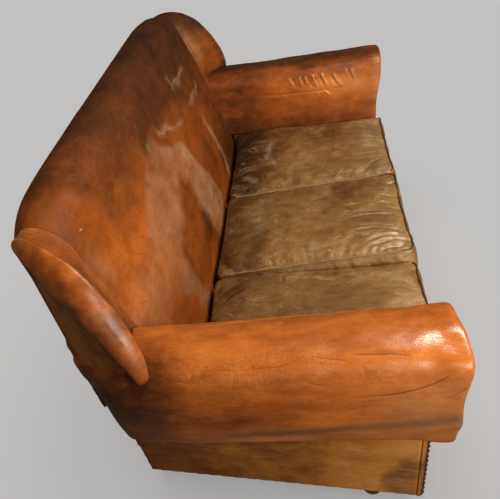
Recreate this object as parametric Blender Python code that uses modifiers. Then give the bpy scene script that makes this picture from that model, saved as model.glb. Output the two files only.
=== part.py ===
"""Worn leather three-seat club sofa: beech frame, webbing, padded leather upholstery, loose cushions.

Units are metres, +Z is up, the front faces -Y, and the origin is on the floor in the middle of the sofa.
Left means the -X side and right the +X side. The base narrows towards the back, the back leans, and
two rolled wings join the back to the arms.
"""
import math

import bmesh
import bpy
from mathutils import Vector

# ---------------------------------------------------------------- driving dimensions
GAP = 0.0003                # room between pieces that touch
ARM_OUT = 0.950             # half of the width over the arms
ARM_IN = 0.757              # half of the seat between the arms
ARM_FRONT = -0.468          # front end of the arm rolls
ARM_TOP = 0.676             # highest line of the arms, at their front
ARM_FALL = 0.055            # how much the arms fall towards the back, per metre
ARM_HEM = 0.374             # lower edge of the arm upholstery
ARM_REAR_TOP = 0.600        # the arm is lower where the wing sits on it
FLOOR_GAP = 0.060           # lower edge of the base above the floor

BASE_FRONT = -0.416         # front face of the base
BASE_OUT_FRONT = 0.868      # half width of the base at its front
BASE_TAPER = 0.1235         # how much each side comes in, per metre towards the back
BOARD = 0.012               # leather-covered side and front boards

BACK_FOOT = 0.345           # rear face of the back at the base's lower edge
BACK_RAKE = 0.140           # how far the back leans, per metre of height
BACK_TOP = 0.934            # top of the back in the middle
BACK_DROP = 0.046           # how much lower the back is at its ends
BACK_REAR = 0.499           # rearmost line of the padding over the top rail
BACK_PANEL = 0.010          # outside back
BACK_PANEL_TOP = 0.800
FRAME_DEPTH = 0.046         # timber of the back frame, front to rear
TIMBER = 0.0444             # timber width

SEAT_RAIL_LOW = 0.0621
SEAT_RAIL_TOP = 0.190
STRAP = 0.002               # thickness of the webbing
STRAP_WIDTH = 0.060
DECK_HEIGHT = 0.2565        # top of the seat deck at y = 0
DECK_SLOPE = 0.100          # the deck falls towards the back by this much a metre
CUSHION_FRONT = -0.500
CUSHION_REAR = 0.158
CUSHION_THICK = 0.124
CUSHION_GAP = 0.004

SLOT_IN = 0.768             # frame slot inside each arm
SLOT_OUT = 0.802
FRONT_POST_OUT = 0.845      # outer face of the front posts
SLOT_TOP = 0.590
POST_FRONT = -0.404
POST_REAR = -0.359
POST_OUT = 0.757            # outer face of the corner posts of the back
FOOT_PLACES = ((0.805, -0.296), (0.720, 0.257))
FOOT_RADIUS = 0.029

SIDES = (("left", -1.0), ("right", 1.0))
LEANING = math.atan(BACK_RAKE)
DECK_ANGLE = math.atan(DECK_SLOPE)
TAPER_ANGLE = math.atan(BASE_TAPER)


def rear_plane(z):
    """Y of the rear face of the outside back at height z."""
    return BACK_FOOT + BACK_RAKE * (z - FLOOR_GAP)


def frame_rear(z):
    return rear_plane(z) - BACK_PANEL - 3 * GAP


def frame_front(z):
    return frame_rear(z) - FRAME_DEPTH


def base_out(y):
    """Half width of the base, over its side boards, at depth y."""
    return BASE_OUT_FRONT - BASE_TAPER * (y - BASE_FRONT)


def rail_out(y):
    return base_out(y) - BOARD * 1.01 - GAP


def rail_in(y):
    return rail_out(y) - TIMBER - GAP


def deck(y):
    return DECK_HEIGHT - DECK_SLOPE * y


# ---------------------------------------------------------------- scene and materials
for old in list(bpy.data.objects):
    bpy.data.objects.remove(old, do_unlink=True)

sofa = bpy.data.collections.new("worn_leather_sofa")
cutters = bpy.data.collections.new("cutters")
bpy.context.scene.collection.children.link(sofa)
bpy.context.scene.collection.children.link(cutters)

FINISHES = {
    "tan_leather": ((0.44, 0.17, 0.045, 1), 0.38, 0.0),
    "dark_leather": ((0.17, 0.075, 0.025, 1), 0.45, 0.0),
    "taupe_leather": ((0.22, 0.14, 0.07, 1), 0.55, 0.0),
    "beech": ((0.55, 0.38, 0.21, 1), 0.6, 0.0),
    "jute_webbing": ((0.46, 0.36, 0.22, 1), 0.9, 0.0),
    "hessian": ((0.40, 0.31, 0.19, 1), 0.9, 0.0),
    "black_cloth": ((0.02, 0.02, 0.02, 1), 0.9, 0.0),
    "lacquered_wood": ((0.10, 0.06, 0.025, 1), 0.2, 0.0),
}


def own_material(obj, finish):
    """Give the piece its own material, in one of the sofa's finishes."""
    colour, roughness, metallic = FINISHES[finish]
    material = bpy.data.materials.new(obj.name + "_" + finish)
    material.use_nodes = True
    shader = material.node_tree.nodes["Principled BSDF"]
    shader.inputs["Base Color"].default_value = colour
    shader.inputs["Roughness"].default_value = roughness
    shader.inputs["Metallic"].default_value = metallic
    obj.data.materials.append(material)


# ---------------------------------------------------------------- ways to make a piece
def add_object(name, data, finish=None, collection=sofa):
    obj = bpy.data.objects.new(name, data)
    collection.objects.link(obj)
    if finish:
        own_material(obj, finish)
    return obj


def box(name, low, high, finish, collection=sofa):
    """A cuboid between two corners, with its scale already in the mesh."""
    size = Vector(high) - Vector(low)
    mesh = bpy.data.meshes.new(name)
    bm = bmesh.new()
    bmesh.ops.create_cube(bm, size=1.0)
    bmesh.ops.scale(bm, vec=size, verts=bm.verts)
    bm.to_mesh(mesh)
    bm.free()
    obj = add_object(name, mesh, finish, collection)
    obj.location = (Vector(low) + Vector(high)) / 2
    return obj


PLANES = {
    "XY": (0.0, 0.0, 0.0),
    "XZ": (math.pi / 2, 0.0, 0.0),
    "YZ": (math.pi / 2, 0.0, math.pi / 2),
}
ALONG = {"XY": 2, "XZ": 1, "YZ": 0}


def plate(name, outline, plane, low, high, finish, collection=sofa):
    """A flat outline in one plane, as thick as from low to high across it."""
    curve = bpy.data.curves.new(name, "CURVE")
    curve.dimensions = "2D"
    curve.fill_mode = "BOTH"
    curve.extrude = (high - low) / 2
    spline = curve.splines.new("POLY")
    spline.points.add(len(outline) - 1)
    for point, (u, v) in zip(spline.points, outline):
        point.co = (u, v, 0.0, 1.0)
    spline.use_cyclic_u = True
    obj = add_object(name, curve, finish, collection)
    obj.rotation_euler = PLANES[plane]
    obj.location[ALONG[plane]] = (low + high) / 2
    return obj


def solid_from_curve(obj):
    """Turn a filled curve into a mesh with welded caps, so that it can cut another piece."""
    bpy.context.view_layer.update()
    mesh = bpy.data.meshes.new_from_object(obj.evaluated_get(bpy.context.evaluated_depsgraph_get()))
    bm = bmesh.new()
    bm.from_mesh(mesh)
    bmesh.ops.remove_doubles(bm, verts=bm.verts, dist=1e-6)
    bmesh.ops.recalc_face_normals(bm, faces=bm.faces)
    bm.to_mesh(mesh)
    bm.free()
    solid = bpy.data.objects.new(obj.name, mesh)
    solid.matrix_world = obj.matrix_world.copy()
    for collection in obj.users_collection:
        collection.objects.link(solid)
    name = obj.name
    bpy.data.objects.remove(obj, do_unlink=True)
    solid.name = name
    return solid


def cut(obj, cutter):
    cutter.hide_render = True
    cutter.display_type = "WIRE"
    modifier = obj.modifiers.new("pocket_" + cutter.name, "BOOLEAN")
    modifier.operation = "DIFFERENCE"
    modifier.object = cutter


def loft(name, rings, finish):
    """A closed skin bridged over rings of points, with a flat cap on each end."""
    bm = bmesh.new()
    loops = []
    for ring in rings:
        verts = [bm.verts.new(point) for point in ring]
        loops.append([bm.edges.new((verts[i - 1], verts[i])) for i in range(len(verts))])
        if ring in (rings[0], rings[-1]):
            bm.faces.new(verts)
    for near, far in zip(loops, loops[1:]):
        bmesh.ops.bridge_loops(bm, edges=near + far)
    bmesh.ops.recalc_face_normals(bm, faces=bm.faces)
    mesh = bpy.data.meshes.new(name)
    bm.to_mesh(mesh)
    bm.free()
    mesh.shade_smooth()
    mesh.set_sharp_from_angle(angle=math.radians(40))
    return add_object(name, mesh, finish)


def rounded(outline, steps=4):
    """Round the corners of an outline of (u, v, radius) points with arcs."""
    points = []
    count = len(outline)
    for i, (u, v, radius) in enumerate(outline):
        corner = Vector((u, v))
        if radius <= 0:
            points.append((u, v))
            continue
        before = Vector(outline[i - 1][:2]) - corner
        after = Vector(outline[(i + 1) % count][:2]) - corner
        half = before.angle(after) / 2
        run = min(radius / math.tan(half), before.length * 0.49, after.length * 0.49)
        radius = run * math.tan(half)
        centre = corner + (before.normalized() + after.normalized()).normalized() * radius / math.sin(half)
        start = corner + before.normalized() * run - centre
        end = corner + after.normalized() * run - centre
        turn = start.angle_signed(end)
        for step in range(steps + 1):
            angle = -turn * step / steps
            swung = Vector((start.x * math.cos(angle) - start.y * math.sin(angle),
                            start.x * math.sin(angle) + start.y * math.cos(angle)))
            points.append(tuple(centre + swung))
    return points


def shrunk(outline, amount, centre):
    """The outline drawn in towards its centre by about the given distance."""
    middle = Vector(centre)
    result = []
    for u, v in outline:
        arm = Vector((u, v)) - middle
        result.append(tuple(middle + arm * max(0.0, 1 - amount / arm.length)))
    return result


# ---------------------------------------------------------------- beech frame
def leaning_plate(name, low, high, bottom, top, finish="beech"):
    """Timber of the back frame between two heights, spanning x from low to high."""
    outline = [(frame_front(bottom), bottom), (frame_rear(bottom), bottom),
               (frame_rear(top), top), (frame_front(top), top)]
    return plate(name, outline, "YZ", low, high, finish)


POST_IN = POST_OUT - TIMBER
POST_TOP = 0.800
TOP_RAIL = (POST_TOP + GAP, 0.860)
LOWER_BACK_RAIL = (0.262, 0.310)


def build_frame():
    front_span = SLOT_IN - GAP
    box("front_seat_rail", (-front_span, POST_FRONT, SEAT_RAIL_LOW),
        (front_span, POST_FRONT + 0.030, SEAT_RAIL_TOP), "beech")
    inner_span = POST_IN - GAP
    leaning_plate("rear_seat_rail", -inner_span, inner_span, SEAT_RAIL_LOW, SEAT_RAIL_TOP)
    leaning_plate("lower_back_rail", -inner_span, inner_span, *LOWER_BACK_RAIL)
    leaning_plate("top_back_rail", -POST_OUT, POST_OUT, *TOP_RAIL)
    rail_front = POST_REAR + GAP
    rail_rear = frame_front(SEAT_RAIL_LOW) - GAP
    for side, sign in SIDES:
        outline = [(rail_out(rail_front), rail_front), (rail_out(rail_rear), rail_rear),
                   (rail_out(rail_rear) - TIMBER, rail_rear), (rail_out(rail_front) - TIMBER, rail_front)]
        plate(f"{side}_seat_rail", [(sign * x, y) for x, y in outline], "XY",
              SEAT_RAIL_LOW, SEAT_RAIL_TOP, "beech")
        post = sorted((sign * (SLOT_IN + GAP), sign * (FRONT_POST_OUT - GAP)))
        box(f"{side}_front_post", (post[0], POST_FRONT, SEAT_RAIL_LOW), (post[1], POST_REAR, SLOT_TOP - GAP), "beech")
        post = sorted((sign * POST_IN, sign * POST_OUT))
        leaning_plate(f"{side}_back_post", post[0], post[1], SEAT_RAIL_LOW, POST_TOP)
        middle = sorted((sign * 0.238, sign * (0.238 + TIMBER)))
        leaning_plate(f"{side}_middle_back_post", middle[0], middle[1],
                      LOWER_BACK_RAIL[1] + GAP, POST_TOP)
        bearer = sorted((sign * 0.230, sign * (0.230 + TIMBER)))
        box(f"{side}_seat_bearer", (bearer[0], POST_FRONT + 0.030 + GAP, SEAT_RAIL_LOW),
            (bearer[1], frame_front(SEAT_RAIL_LOW) - GAP, SEAT_RAIL_TOP - 0.040), "beech")
        build_arm_timber(side, sign)
        build_corner_blocks(side, sign)


def build_arm_timber(side, sign):
    """Upper and lower arm rails, and the block that ties them to the back post."""
    span = sorted((sign * (SLOT_IN + GAP), sign * (SLOT_OUT - GAP)))
    for name, low, high in (("arm_rail", SLOT_TOP - 0.045, SLOT_TOP - GAP),
                            ("lower_arm_rail", ARM_HEM + 2 * GAP, ARM_HEM + 0.045)):
        outline = [(POST_REAR + GAP, low), (frame_rear(low), low), (frame_rear(high), high), (POST_REAR + GAP, high)]
        plate(f"{side}_{name}", outline, "YZ", span[0], span[1], "beech")
    block = sorted((sign * (POST_OUT + GAP), sign * SLOT_IN))
    leaning_plate(f"{side}_arm_block", block[0], block[1], ARM_HEM + 2 * GAP, SLOT_TOP - GAP)


def build_corner_blocks(side, sign):
    """Triangular glue blocks in the corners of the seat frame."""
    leg = 0.070
    front = POST_FRONT + 0.030 + GAP
    rear = frame_front(SEAT_RAIL_LOW) - GAP
    post_in, post_rear = SLOT_IN - GAP, POST_REAR + 2 * GAP
    corners = {
        "front": [(post_in, front), (post_in - leg, front), (rail_in(front + leg), front + leg),
                  (rail_in(post_rear), post_rear), (post_in, post_rear)],
        "rear": [(rail_in(rear), rear), (rail_in(rear) - leg, rear), (rail_in(rear - leg), rear - leg)],
    }
    for place, outline in corners.items():
        plate(f"{side}_{place}_corner_block", [(sign * x, y) for x, y in outline], "XY",
              SEAT_RAIL_LOW + 0.020, SEAT_RAIL_TOP - 0.030, "beech")


def build_webbing():
    """Straps over the seat frame and up the face of the back frame."""
    count = 6
    rear = frame_front(SEAT_RAIL_TOP) + 0.030
    for number in range(count):
        middle = (number - (count - 1) / 2) * 0.236
        box(f"seat_strap_{number + 1}", (middle - STRAP_WIDTH / 2, POST_FRONT + 0.004, SEAT_RAIL_TOP + GAP),
            (middle + STRAP_WIDTH / 2, rear, SEAT_RAIL_TOP + GAP + STRAP), "jute_webbing")
    for side, sign in SIDES:
        low, high = LOWER_BACK_RAIL[0] + 0.005, TOP_RAIL[1] - 0.005
        outline = [(frame_front(low) - GAP - STRAP, low), (frame_front(low) - GAP, low),
                   (frame_front(high) - GAP, high), (frame_front(high) - GAP - STRAP, high)]
        middle = sign * 0.500
        plate(f"{side}_back_strap", outline, "YZ", middle - STRAP_WIDTH / 2, middle + STRAP_WIDTH / 2,
              "jute_webbing")


# ---------------------------------------------------------------- seat
def build_seat():
    half = ARM_IN - 2 * GAP
    low = SEAT_RAIL_TOP + STRAP + 2 * GAP
    front, rear = POST_FRONT, frame_front(LOWER_BACK_RAIL[0]) - 0.015
    outline = [(front, low), (rear, low), (rear, deck(rear)), (front, deck(front))]
    plate("seat_deck", outline, "YZ", -half, half, "hessian")
    width = (2 * ARM_IN - 4 * CUSHION_GAP) / 3
    length = (CUSHION_REAR - CUSHION_FRONT) / math.cos(DECK_ANGLE)
    middle_y = (CUSHION_FRONT + CUSHION_REAR) / 2
    for number, name in enumerate(("left", "middle", "right")):
        x = (number - 1) * (width + CUSHION_GAP)
        size = (width, length, CUSHION_THICK)
        half_size = tuple(value / 2 for value in size)
        cushion = box(f"{name}_seat_cushion", [-value for value in half_size], half_size, "taupe_leather")
        lift = CUSHION_THICK / 2 + GAP
        cushion.location = (x, middle_y + lift * math.sin(DECK_ANGLE), deck(middle_y) + lift / math.cos(DECK_ANGLE))
        cushion.rotation_euler = (-DECK_ANGLE, 0.0, 0.0)
        bevel = cushion.modifiers.new("soft_edges", "BEVEL")
        bevel.width = 0.022
        bevel.segments = 3


def build_front_border():
    """Padded leather strip over the front rail, between the arm fronts."""
    half = ARM_IN - 2 * GAP
    rear = POST_FRONT - GAP
    section = [(rear, FLOOR_GAP, 0), (rear, deck(rear), 0), (-0.446, deck(-0.446), 0.018),
               (-0.440, FLOOR_GAP, 0.012)]
    points = rounded(section)
    loft("front_border", [[(x, y, z) for y, z in points] for x in (-half, half)], "tan_leather")


# ---------------------------------------------------------------- arms
ARM_SECTION = [(ARM_IN, ARM_HEM, 0), (ARM_IN, ARM_TOP - 0.028, 0.048), (0.800, ARM_TOP - 0.001, 0.090),
               (0.860, ARM_TOP + 0.002, 0.200), (ARM_OUT + 0.001, ARM_TOP - 0.013, 0.055),
               (ARM_OUT + 0.001, 0.500, 0.200), (0.912, ARM_HEM, 0.016)]
ARM_MIDDLE = 0.800
# depth, height of the top and how far the outer side has come in, towards the back corner
ARM_REAR_STEPS = ((0.165, 0.642, 0.0), (0.190, 0.630, 0.004), (0.235, ARM_REAR_TOP, 0.008),
                  (0.300, ARM_REAR_TOP, 0.022), (0.334, ARM_REAR_TOP, 0.062), (0.356, ARM_REAR_TOP, 0.090))
ARM_REAR_NARROWING = 0.135


def arm_ring(y, top, narrowing=0.0, inset=0.0):
    """Section of an arm at depth y, pressed down to the given top, narrowed outside and drawn in all round."""
    ring = []
    for x, z in rounded(ARM_SECTION, 5):
        z = ARM_HEM + (z - ARM_HEM) * (top - ARM_HEM) / (ARM_TOP - ARM_HEM)
        if x > ARM_MIDDLE:
            x -= narrowing * (x - ARM_MIDDLE) / (ARM_OUT - ARM_MIDDLE) + inset
        if z > 0.45:
            z -= inset
        ring.append((x, y, z))
    return ring


def build_arms():
    for side, sign in SIDES:
        post = sorted((sign * SLOT_IN, sign * FRONT_POST_OUT))
        rails = sorted((sign * SLOT_IN, sign * SLOT_OUT))
        tools = [box(f"{side}_post_slot", (post[0], POST_FRONT - 2 * GAP, 0.20), (post[1], POST_REAR + GAP, SLOT_TOP),
                     None, cutters),
                 box(f"{side}_rail_slot", (rails[0], POST_REAR - 0.01, 0.20), (rails[1], 0.60, SLOT_TOP),
                     None, cutters)]
        pocket = [(frame_front(z) - 2 * GAP, z) for z in (0.20, SLOT_TOP)] + [(0.60, SLOT_TOP), (0.60, 0.20)]
        span = sorted((sign * 0.700, sign * (SLOT_IN + GAP)))
        tools.append(solid_from_curve(plate(f"{side}_arm_pocket", pocket, "YZ", span[0], span[1], None, cutters)))
        rings = [arm_ring(ARM_FRONT, ARM_TOP, inset=0.010), arm_ring(ARM_FRONT + 0.010, ARM_TOP, inset=0.002)]
        rings += [arm_ring(y, ARM_TOP - ARM_FALL * (y - ARM_FRONT)) for y in (-0.440, -0.150)]
        rings += [arm_ring(*step) for step in ARM_REAR_STEPS]
        end = arm_ring(0.0, ARM_REAR_TOP, ARM_REAR_NARROWING)
        rings.append([(x, rear_plane(z) - BACK_PANEL - GAP, z) for x, _, z in end])
        arm = loft(f"{side}_arm", [[(sign * x, y, z) for x, y, z in ring] for ring in rings], "tan_leather")
        for tool in tools:
            cut(arm, tool)


def build_side_boards():
    """Leather-covered boards below the arms: side, front facing with its nail band, and inner lining."""
    top = ARM_HEM - GAP
    for side, sign in SIDES:
        front = POST_FRONT + BOARD * BASE_TAPER / 2
        length_scale = math.cos(TAPER_ANGLE)
        corner = BOARD * BASE_TAPER
        rear_low, rear_top = ((rear_plane(z) - BACK_PANEL - 2 * GAP - corner - front) / length_scale
                              for z in (FLOOR_GAP, top))
        ends = [(0.0, FLOOR_GAP), (rear_low, FLOOR_GAP), (rear_top, top), (0.0, top)]
        board = plate(f"{side}_side_board", ends, "YZ", -BOARD / 2, BOARD / 2, "dark_leather")
        board.location = (sign * (base_out(front) - BOARD / 2 / length_scale), front, 0.0)
        board.rotation_euler = (math.pi / 2, 0.0, math.pi / 2 + sign * TAPER_ANGLE)
        facing = sorted((sign * ARM_IN, sign * base_out(BASE_FRONT)))
        box(f"{side}_front_facing", (facing[0], BASE_FRONT, FLOOR_GAP), (facing[1], POST_FRONT - GAP, top),
            "tan_leather")
        band = sorted((sign * (base_out(BASE_FRONT) - 0.018), sign * (base_out(BASE_FRONT) - 0.002)))
        box(f"{side}_nail_band", (band[0], BASE_FRONT - 0.004, FLOOR_GAP + 0.004), (band[1], BASE_FRONT - GAP, top),
            "dark_leather")
        lining = sorted((sign * ARM_IN, sign * (ARM_IN + 0.008)))
        box(f"{side}_inner_lining", (lining[0], POST_FRONT + GAP, SEAT_RAIL_TOP + GAP), (lining[1], 0.175, top),
            "dark_leather")


# ---------------------------------------------------------------- back and wings
def back_drop(x):
    return BACK_DROP * (abs(x) / ARM_IN) ** 3


def back_section(x):
    """Outline (y, z) of the back pad: a hook that goes up the front, over the top rail and down behind it."""
    drop = back_drop(x)
    foot = 0.165
    pad_rear = [(frame_front(z) - STRAP - 2 * GAP, z) for z in (0.30, TOP_RAIL[1] + GAP)]
    hem = BACK_PANEL_TOP + GAP
    outline = [
        (foot, deck(foot) + GAP, 0), (0.180, 0.360, 0.20), (0.265, 0.642, 0.20), (0.330, 0.830 - drop, 0.15),
        (0.352, BACK_TOP - 0.018 - drop, 0.045), (0.425, BACK_TOP + 0.004 - drop, 0.060),
        (BACK_REAR - 0.010 - drop * 0.5, BACK_TOP - 0.014 - drop, 0.040), (BACK_REAR - drop * 0.5, 0.865 - drop * 0.5, 0.030),
        (0.474, hem, 0),
        (frame_rear(hem) + GAP, hem, 0), (frame_rear(TOP_RAIL[1]) + GAP, TOP_RAIL[1] + GAP, 0),
        (pad_rear[1][0], pad_rear[1][1], 0),
        (frame_front(0.270) - STRAP - 2 * GAP, 0.270, 0),
        (frame_front(0.270) - 0.030, deck(frame_front(0.270) - 0.030) + GAP, 0),
    ]
    return rounded(outline, 3)


def build_back():
    half = POST_OUT - GAP
    stations = [-half, -0.620, -0.400, -0.150, 0.150, 0.400, 0.620, half]
    loft("back_pad", [[(x, y, z) for y, z in back_section(x)] for x in stations], "tan_leather")
    slant = math.hypot(1.0, BACK_RAKE)
    heights = [(z - FLOOR_GAP) * slant for z in (FLOOR_GAP, ARM_HEM, ARM_HEM + 0.002, ARM_REAR_TOP,
                                                 ARM_REAR_TOP + 0.030, BACK_PANEL_TOP - 0.0018)]
    halves = (0.756, 0.770, 0.808, 0.808, 0.790, 0.785)
    right = list(zip(halves, heights))
    outline = right + [(-x, s) for x, s in reversed(right)]
    panel = plate("outside_back", outline, "XZ", 0.0, BACK_PANEL, "dark_leather")
    panel.rotation_euler = (math.pi / 2 - LEANING, 0.0, 0.0)
    middle = BACK_PANEL / 2
    panel.location = (0.0, BACK_FOOT - middle * math.cos(LEANING), FLOOR_GAP + middle * math.sin(LEANING))


WING_OUTLINE = [
    (0.244, 0.6025, 0), (0.200, 0.640, 0.006), (0.188, 0.655, 0.020), (0.205, 0.720, 0.10), (0.255, 0.812, 0.12),
    (0.320, 0.872, 0.12), (0.390, 0.897, 0.10), (0.462, 0.887, 0.045), (0.474, 0.816, 0.010),
    (0.434, 0.816, 0), (0.4093, 0.6025, 0)]
WING_CENTRE = (0.340, 0.760)
# depth and half width along the crest of a wing, from its front tip to the rear
WING_CREST = ((0.188, 0.932), (0.240, 0.893), (0.310, 0.862), (0.370, 0.835), (0.420, 0.800), (0.480, 0.785))
# how far out of the crest each ring of a wing lies, and how far it is drawn in
WING_LAYERS = ((-0.004, 0.004), (0.016, 0.003), (0.022, 0.020), (0.010, 0.045))
WING_BOARD = [(0.300, 0.665), (0.300, 0.720), (0.345, 0.790), (0.375, 0.830), (0.410, 0.838), (0.410, 0.800),
              (0.380, 0.770), (0.380, 0.665)]
WING_BOARD_THICK = 0.018


def wing_crest(y):
    """Half width of the sofa over the crest of a wing at depth y."""
    for (y0, x0), (y1, x1) in zip(WING_CREST, WING_CREST[1:]):
        if y <= y1:
            return x0 + (x1 - x0) * (y - y0) / (y1 - y0)
    return WING_CREST[-1][1]


def build_wings():
    outline = rounded(WING_OUTLINE, 4)
    root = POST_OUT + GAP
    for side, sign in SIDES:
        rings = [[(sign * root, y, z) for y, z in shrunk(outline, 0.045, WING_CENTRE)]]
        for out, inset in WING_LAYERS:
            rings.append([(sign * (wing_crest(y) + out), y, z) for y, z in shrunk(outline, inset, WING_CENTRE)])
        wing = loft(f"{side}_wing", rings, "tan_leather")
        span = sorted((sign * (root - 0.03), sign * (root + WING_BOARD_THICK + 2 * GAP)))
        cut(wing, solid_from_curve(plate(f"{side}_wing_pocket", shrunk(WING_BOARD, -0.001, WING_CENTRE), "YZ",
                                         span[0], span[1], None, cutters)))
        span = sorted((sign * (root + GAP), sign * (root + GAP + WING_BOARD_THICK)))
        plate(f"{side}_wing_board", WING_BOARD, "YZ", span[0], span[1], "beech")


# ---------------------------------------------------------------- underside
def build_underside():
    """Dust cover stretched under the frame, and four turned feet."""
    front = POST_FRONT + 2 * GAP
    rear = BACK_FOOT - BACK_PANEL - 4 * GAP
    half = [(rail_out(front), front), (rail_out(rear), rear)]
    outline = half + [(-x, y) for x, y in reversed(half)]
    plate("dust_cover", outline, "XY", FLOOR_GAP + GAP, SEAT_RAIL_LOW - GAP, "black_cloth")
    profile = [(0.0, 0.0), (0.012, 0.0), (0.020, 0.003), (0.0265, 0.012), (FOOT_RADIUS, 0.024), (0.0265, 0.037),
               (0.018, 0.046), (0.022, 0.050), (0.022, FLOOR_GAP), (0.0, FLOOR_GAP)]
    for side, sign in SIDES:
        for place, (x, y) in zip(("front", "rear"), FOOT_PLACES):
            mesh = bpy.data.meshes.new(f"{side}_{place}_foot")
            bm = bmesh.new()
            verts = [bm.verts.new((radius, 0.0, height)) for radius, height in reversed(profile)]
            for pair in zip(verts, verts[1:]):
                bm.edges.new(pair)
            bm.to_mesh(mesh)
            bm.free()
            foot = add_object(f"{side}_{place}_foot", mesh, "lacquered_wood")
            foot.location = (sign * x, y, 0.0)
            screw = foot.modifiers.new("turning", "SCREW")
            screw.steps = screw.render_steps = 20
            screw.use_merge_vertices = True
            screw.merge_threshold = 0.00001
            screw.use_smooth_shade = True


build_frame()
build_webbing()
build_seat()
build_front_border()
build_arms()
build_side_boards()
build_back()
build_wings()
build_underside()
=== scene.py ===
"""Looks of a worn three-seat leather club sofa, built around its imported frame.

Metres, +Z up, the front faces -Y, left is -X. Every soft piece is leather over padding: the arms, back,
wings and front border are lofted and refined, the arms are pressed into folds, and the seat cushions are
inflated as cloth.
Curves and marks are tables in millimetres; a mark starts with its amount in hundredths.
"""
import math
from functools import partial

import bmesh
import bpy
import numpy as np
from mathutils import Matrix, Vector, noise


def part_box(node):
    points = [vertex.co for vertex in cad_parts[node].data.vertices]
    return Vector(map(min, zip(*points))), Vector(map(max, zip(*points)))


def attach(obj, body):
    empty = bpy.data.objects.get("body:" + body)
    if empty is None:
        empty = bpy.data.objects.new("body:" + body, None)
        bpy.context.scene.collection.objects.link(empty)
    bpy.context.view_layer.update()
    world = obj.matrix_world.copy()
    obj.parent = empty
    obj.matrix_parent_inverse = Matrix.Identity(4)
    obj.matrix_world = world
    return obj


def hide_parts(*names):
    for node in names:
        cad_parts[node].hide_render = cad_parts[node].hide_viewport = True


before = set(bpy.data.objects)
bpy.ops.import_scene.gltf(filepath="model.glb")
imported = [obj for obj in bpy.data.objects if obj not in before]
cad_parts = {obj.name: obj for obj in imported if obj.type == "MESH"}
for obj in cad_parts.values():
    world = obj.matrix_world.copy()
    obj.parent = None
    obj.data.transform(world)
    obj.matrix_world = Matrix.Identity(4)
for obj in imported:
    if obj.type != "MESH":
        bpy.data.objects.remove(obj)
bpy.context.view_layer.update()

SIDES = (("left", -1.0), ("right", 1.0))
SCENE = bpy.context.scene


# ---------------------------------------------------------------- colours, nodes and materials
# what leather reads at each point of its skin, and the value where nothing is painted
UNPAINTED = {"tone": 0.5, "haze": 0.0, "grime": 0.0, "crackle": 0.0, "polish": 0.0, "crease": 9.0,
             "crease_depth": 0.0}
# the same pale paints highlights: the glints on the far arm's ridges and the line along each wing's crest
PALE_RUB_AND_GLINT = "#d0aa80"  # leather rubbed through its dye
GRAIN = 0.10  # height of the pores; the fine and the coarse grain are worked out from it


def linear(code):
    """An sRGB hex colour as linear RGBA."""
    values = [int(code[i:i + 2], 16) / 255 for i in (1, 3, 5)]
    return tuple(v / 12.92 if v <= 0.04045 else ((v + 0.055) / 1.055) ** 2.4 for v in values) + (1.0,)


def wire(node, sockets):
    """Give a node's sockets a value each, or the output that feeds them."""
    for key, value in sockets.items():
        if isinstance(value, bpy.types.NodeSocket):
            node.id_data.links.new(value, node.inputs[key])
        else:
            node.inputs[key].default_value = value


def add_node(tree, kind, *values, out=0, stops=(), **settings):
    """Add one node with its settings and links, and give one of its outputs.

    The kind may carry an operation, as in "Math ADD". Values fill the sockets in order, or a dict names them.
    """
    kind, _, operation = kind.partition(" ")
    new = tree.nodes.new("ShaderNode" + kind)
    if operation:
        new.operation = operation
    for key, value in settings.items():
        setattr(new, key, value)
    wire(new, values[0] if values and isinstance(values[0], dict) else dict(enumerate(values)))
    while stops and len(new.color_ramp.elements) < len(stops):
        new.color_ramp.elements.new(0.5)
    for number, (place, colour) in enumerate(stops):
        new.color_ramp.elements[number].position = place
        new.color_ramp.elements[number].color = colour
    return new.outputs[out]


def new_material(name):
    """A material, its main shader, and the function that adds nodes beside it."""
    material = bpy.data.materials.new(name)
    material.use_nodes = True
    return material, material.node_tree.nodes["Principled BSDF"], partial(add_node, material.node_tree)


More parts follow.
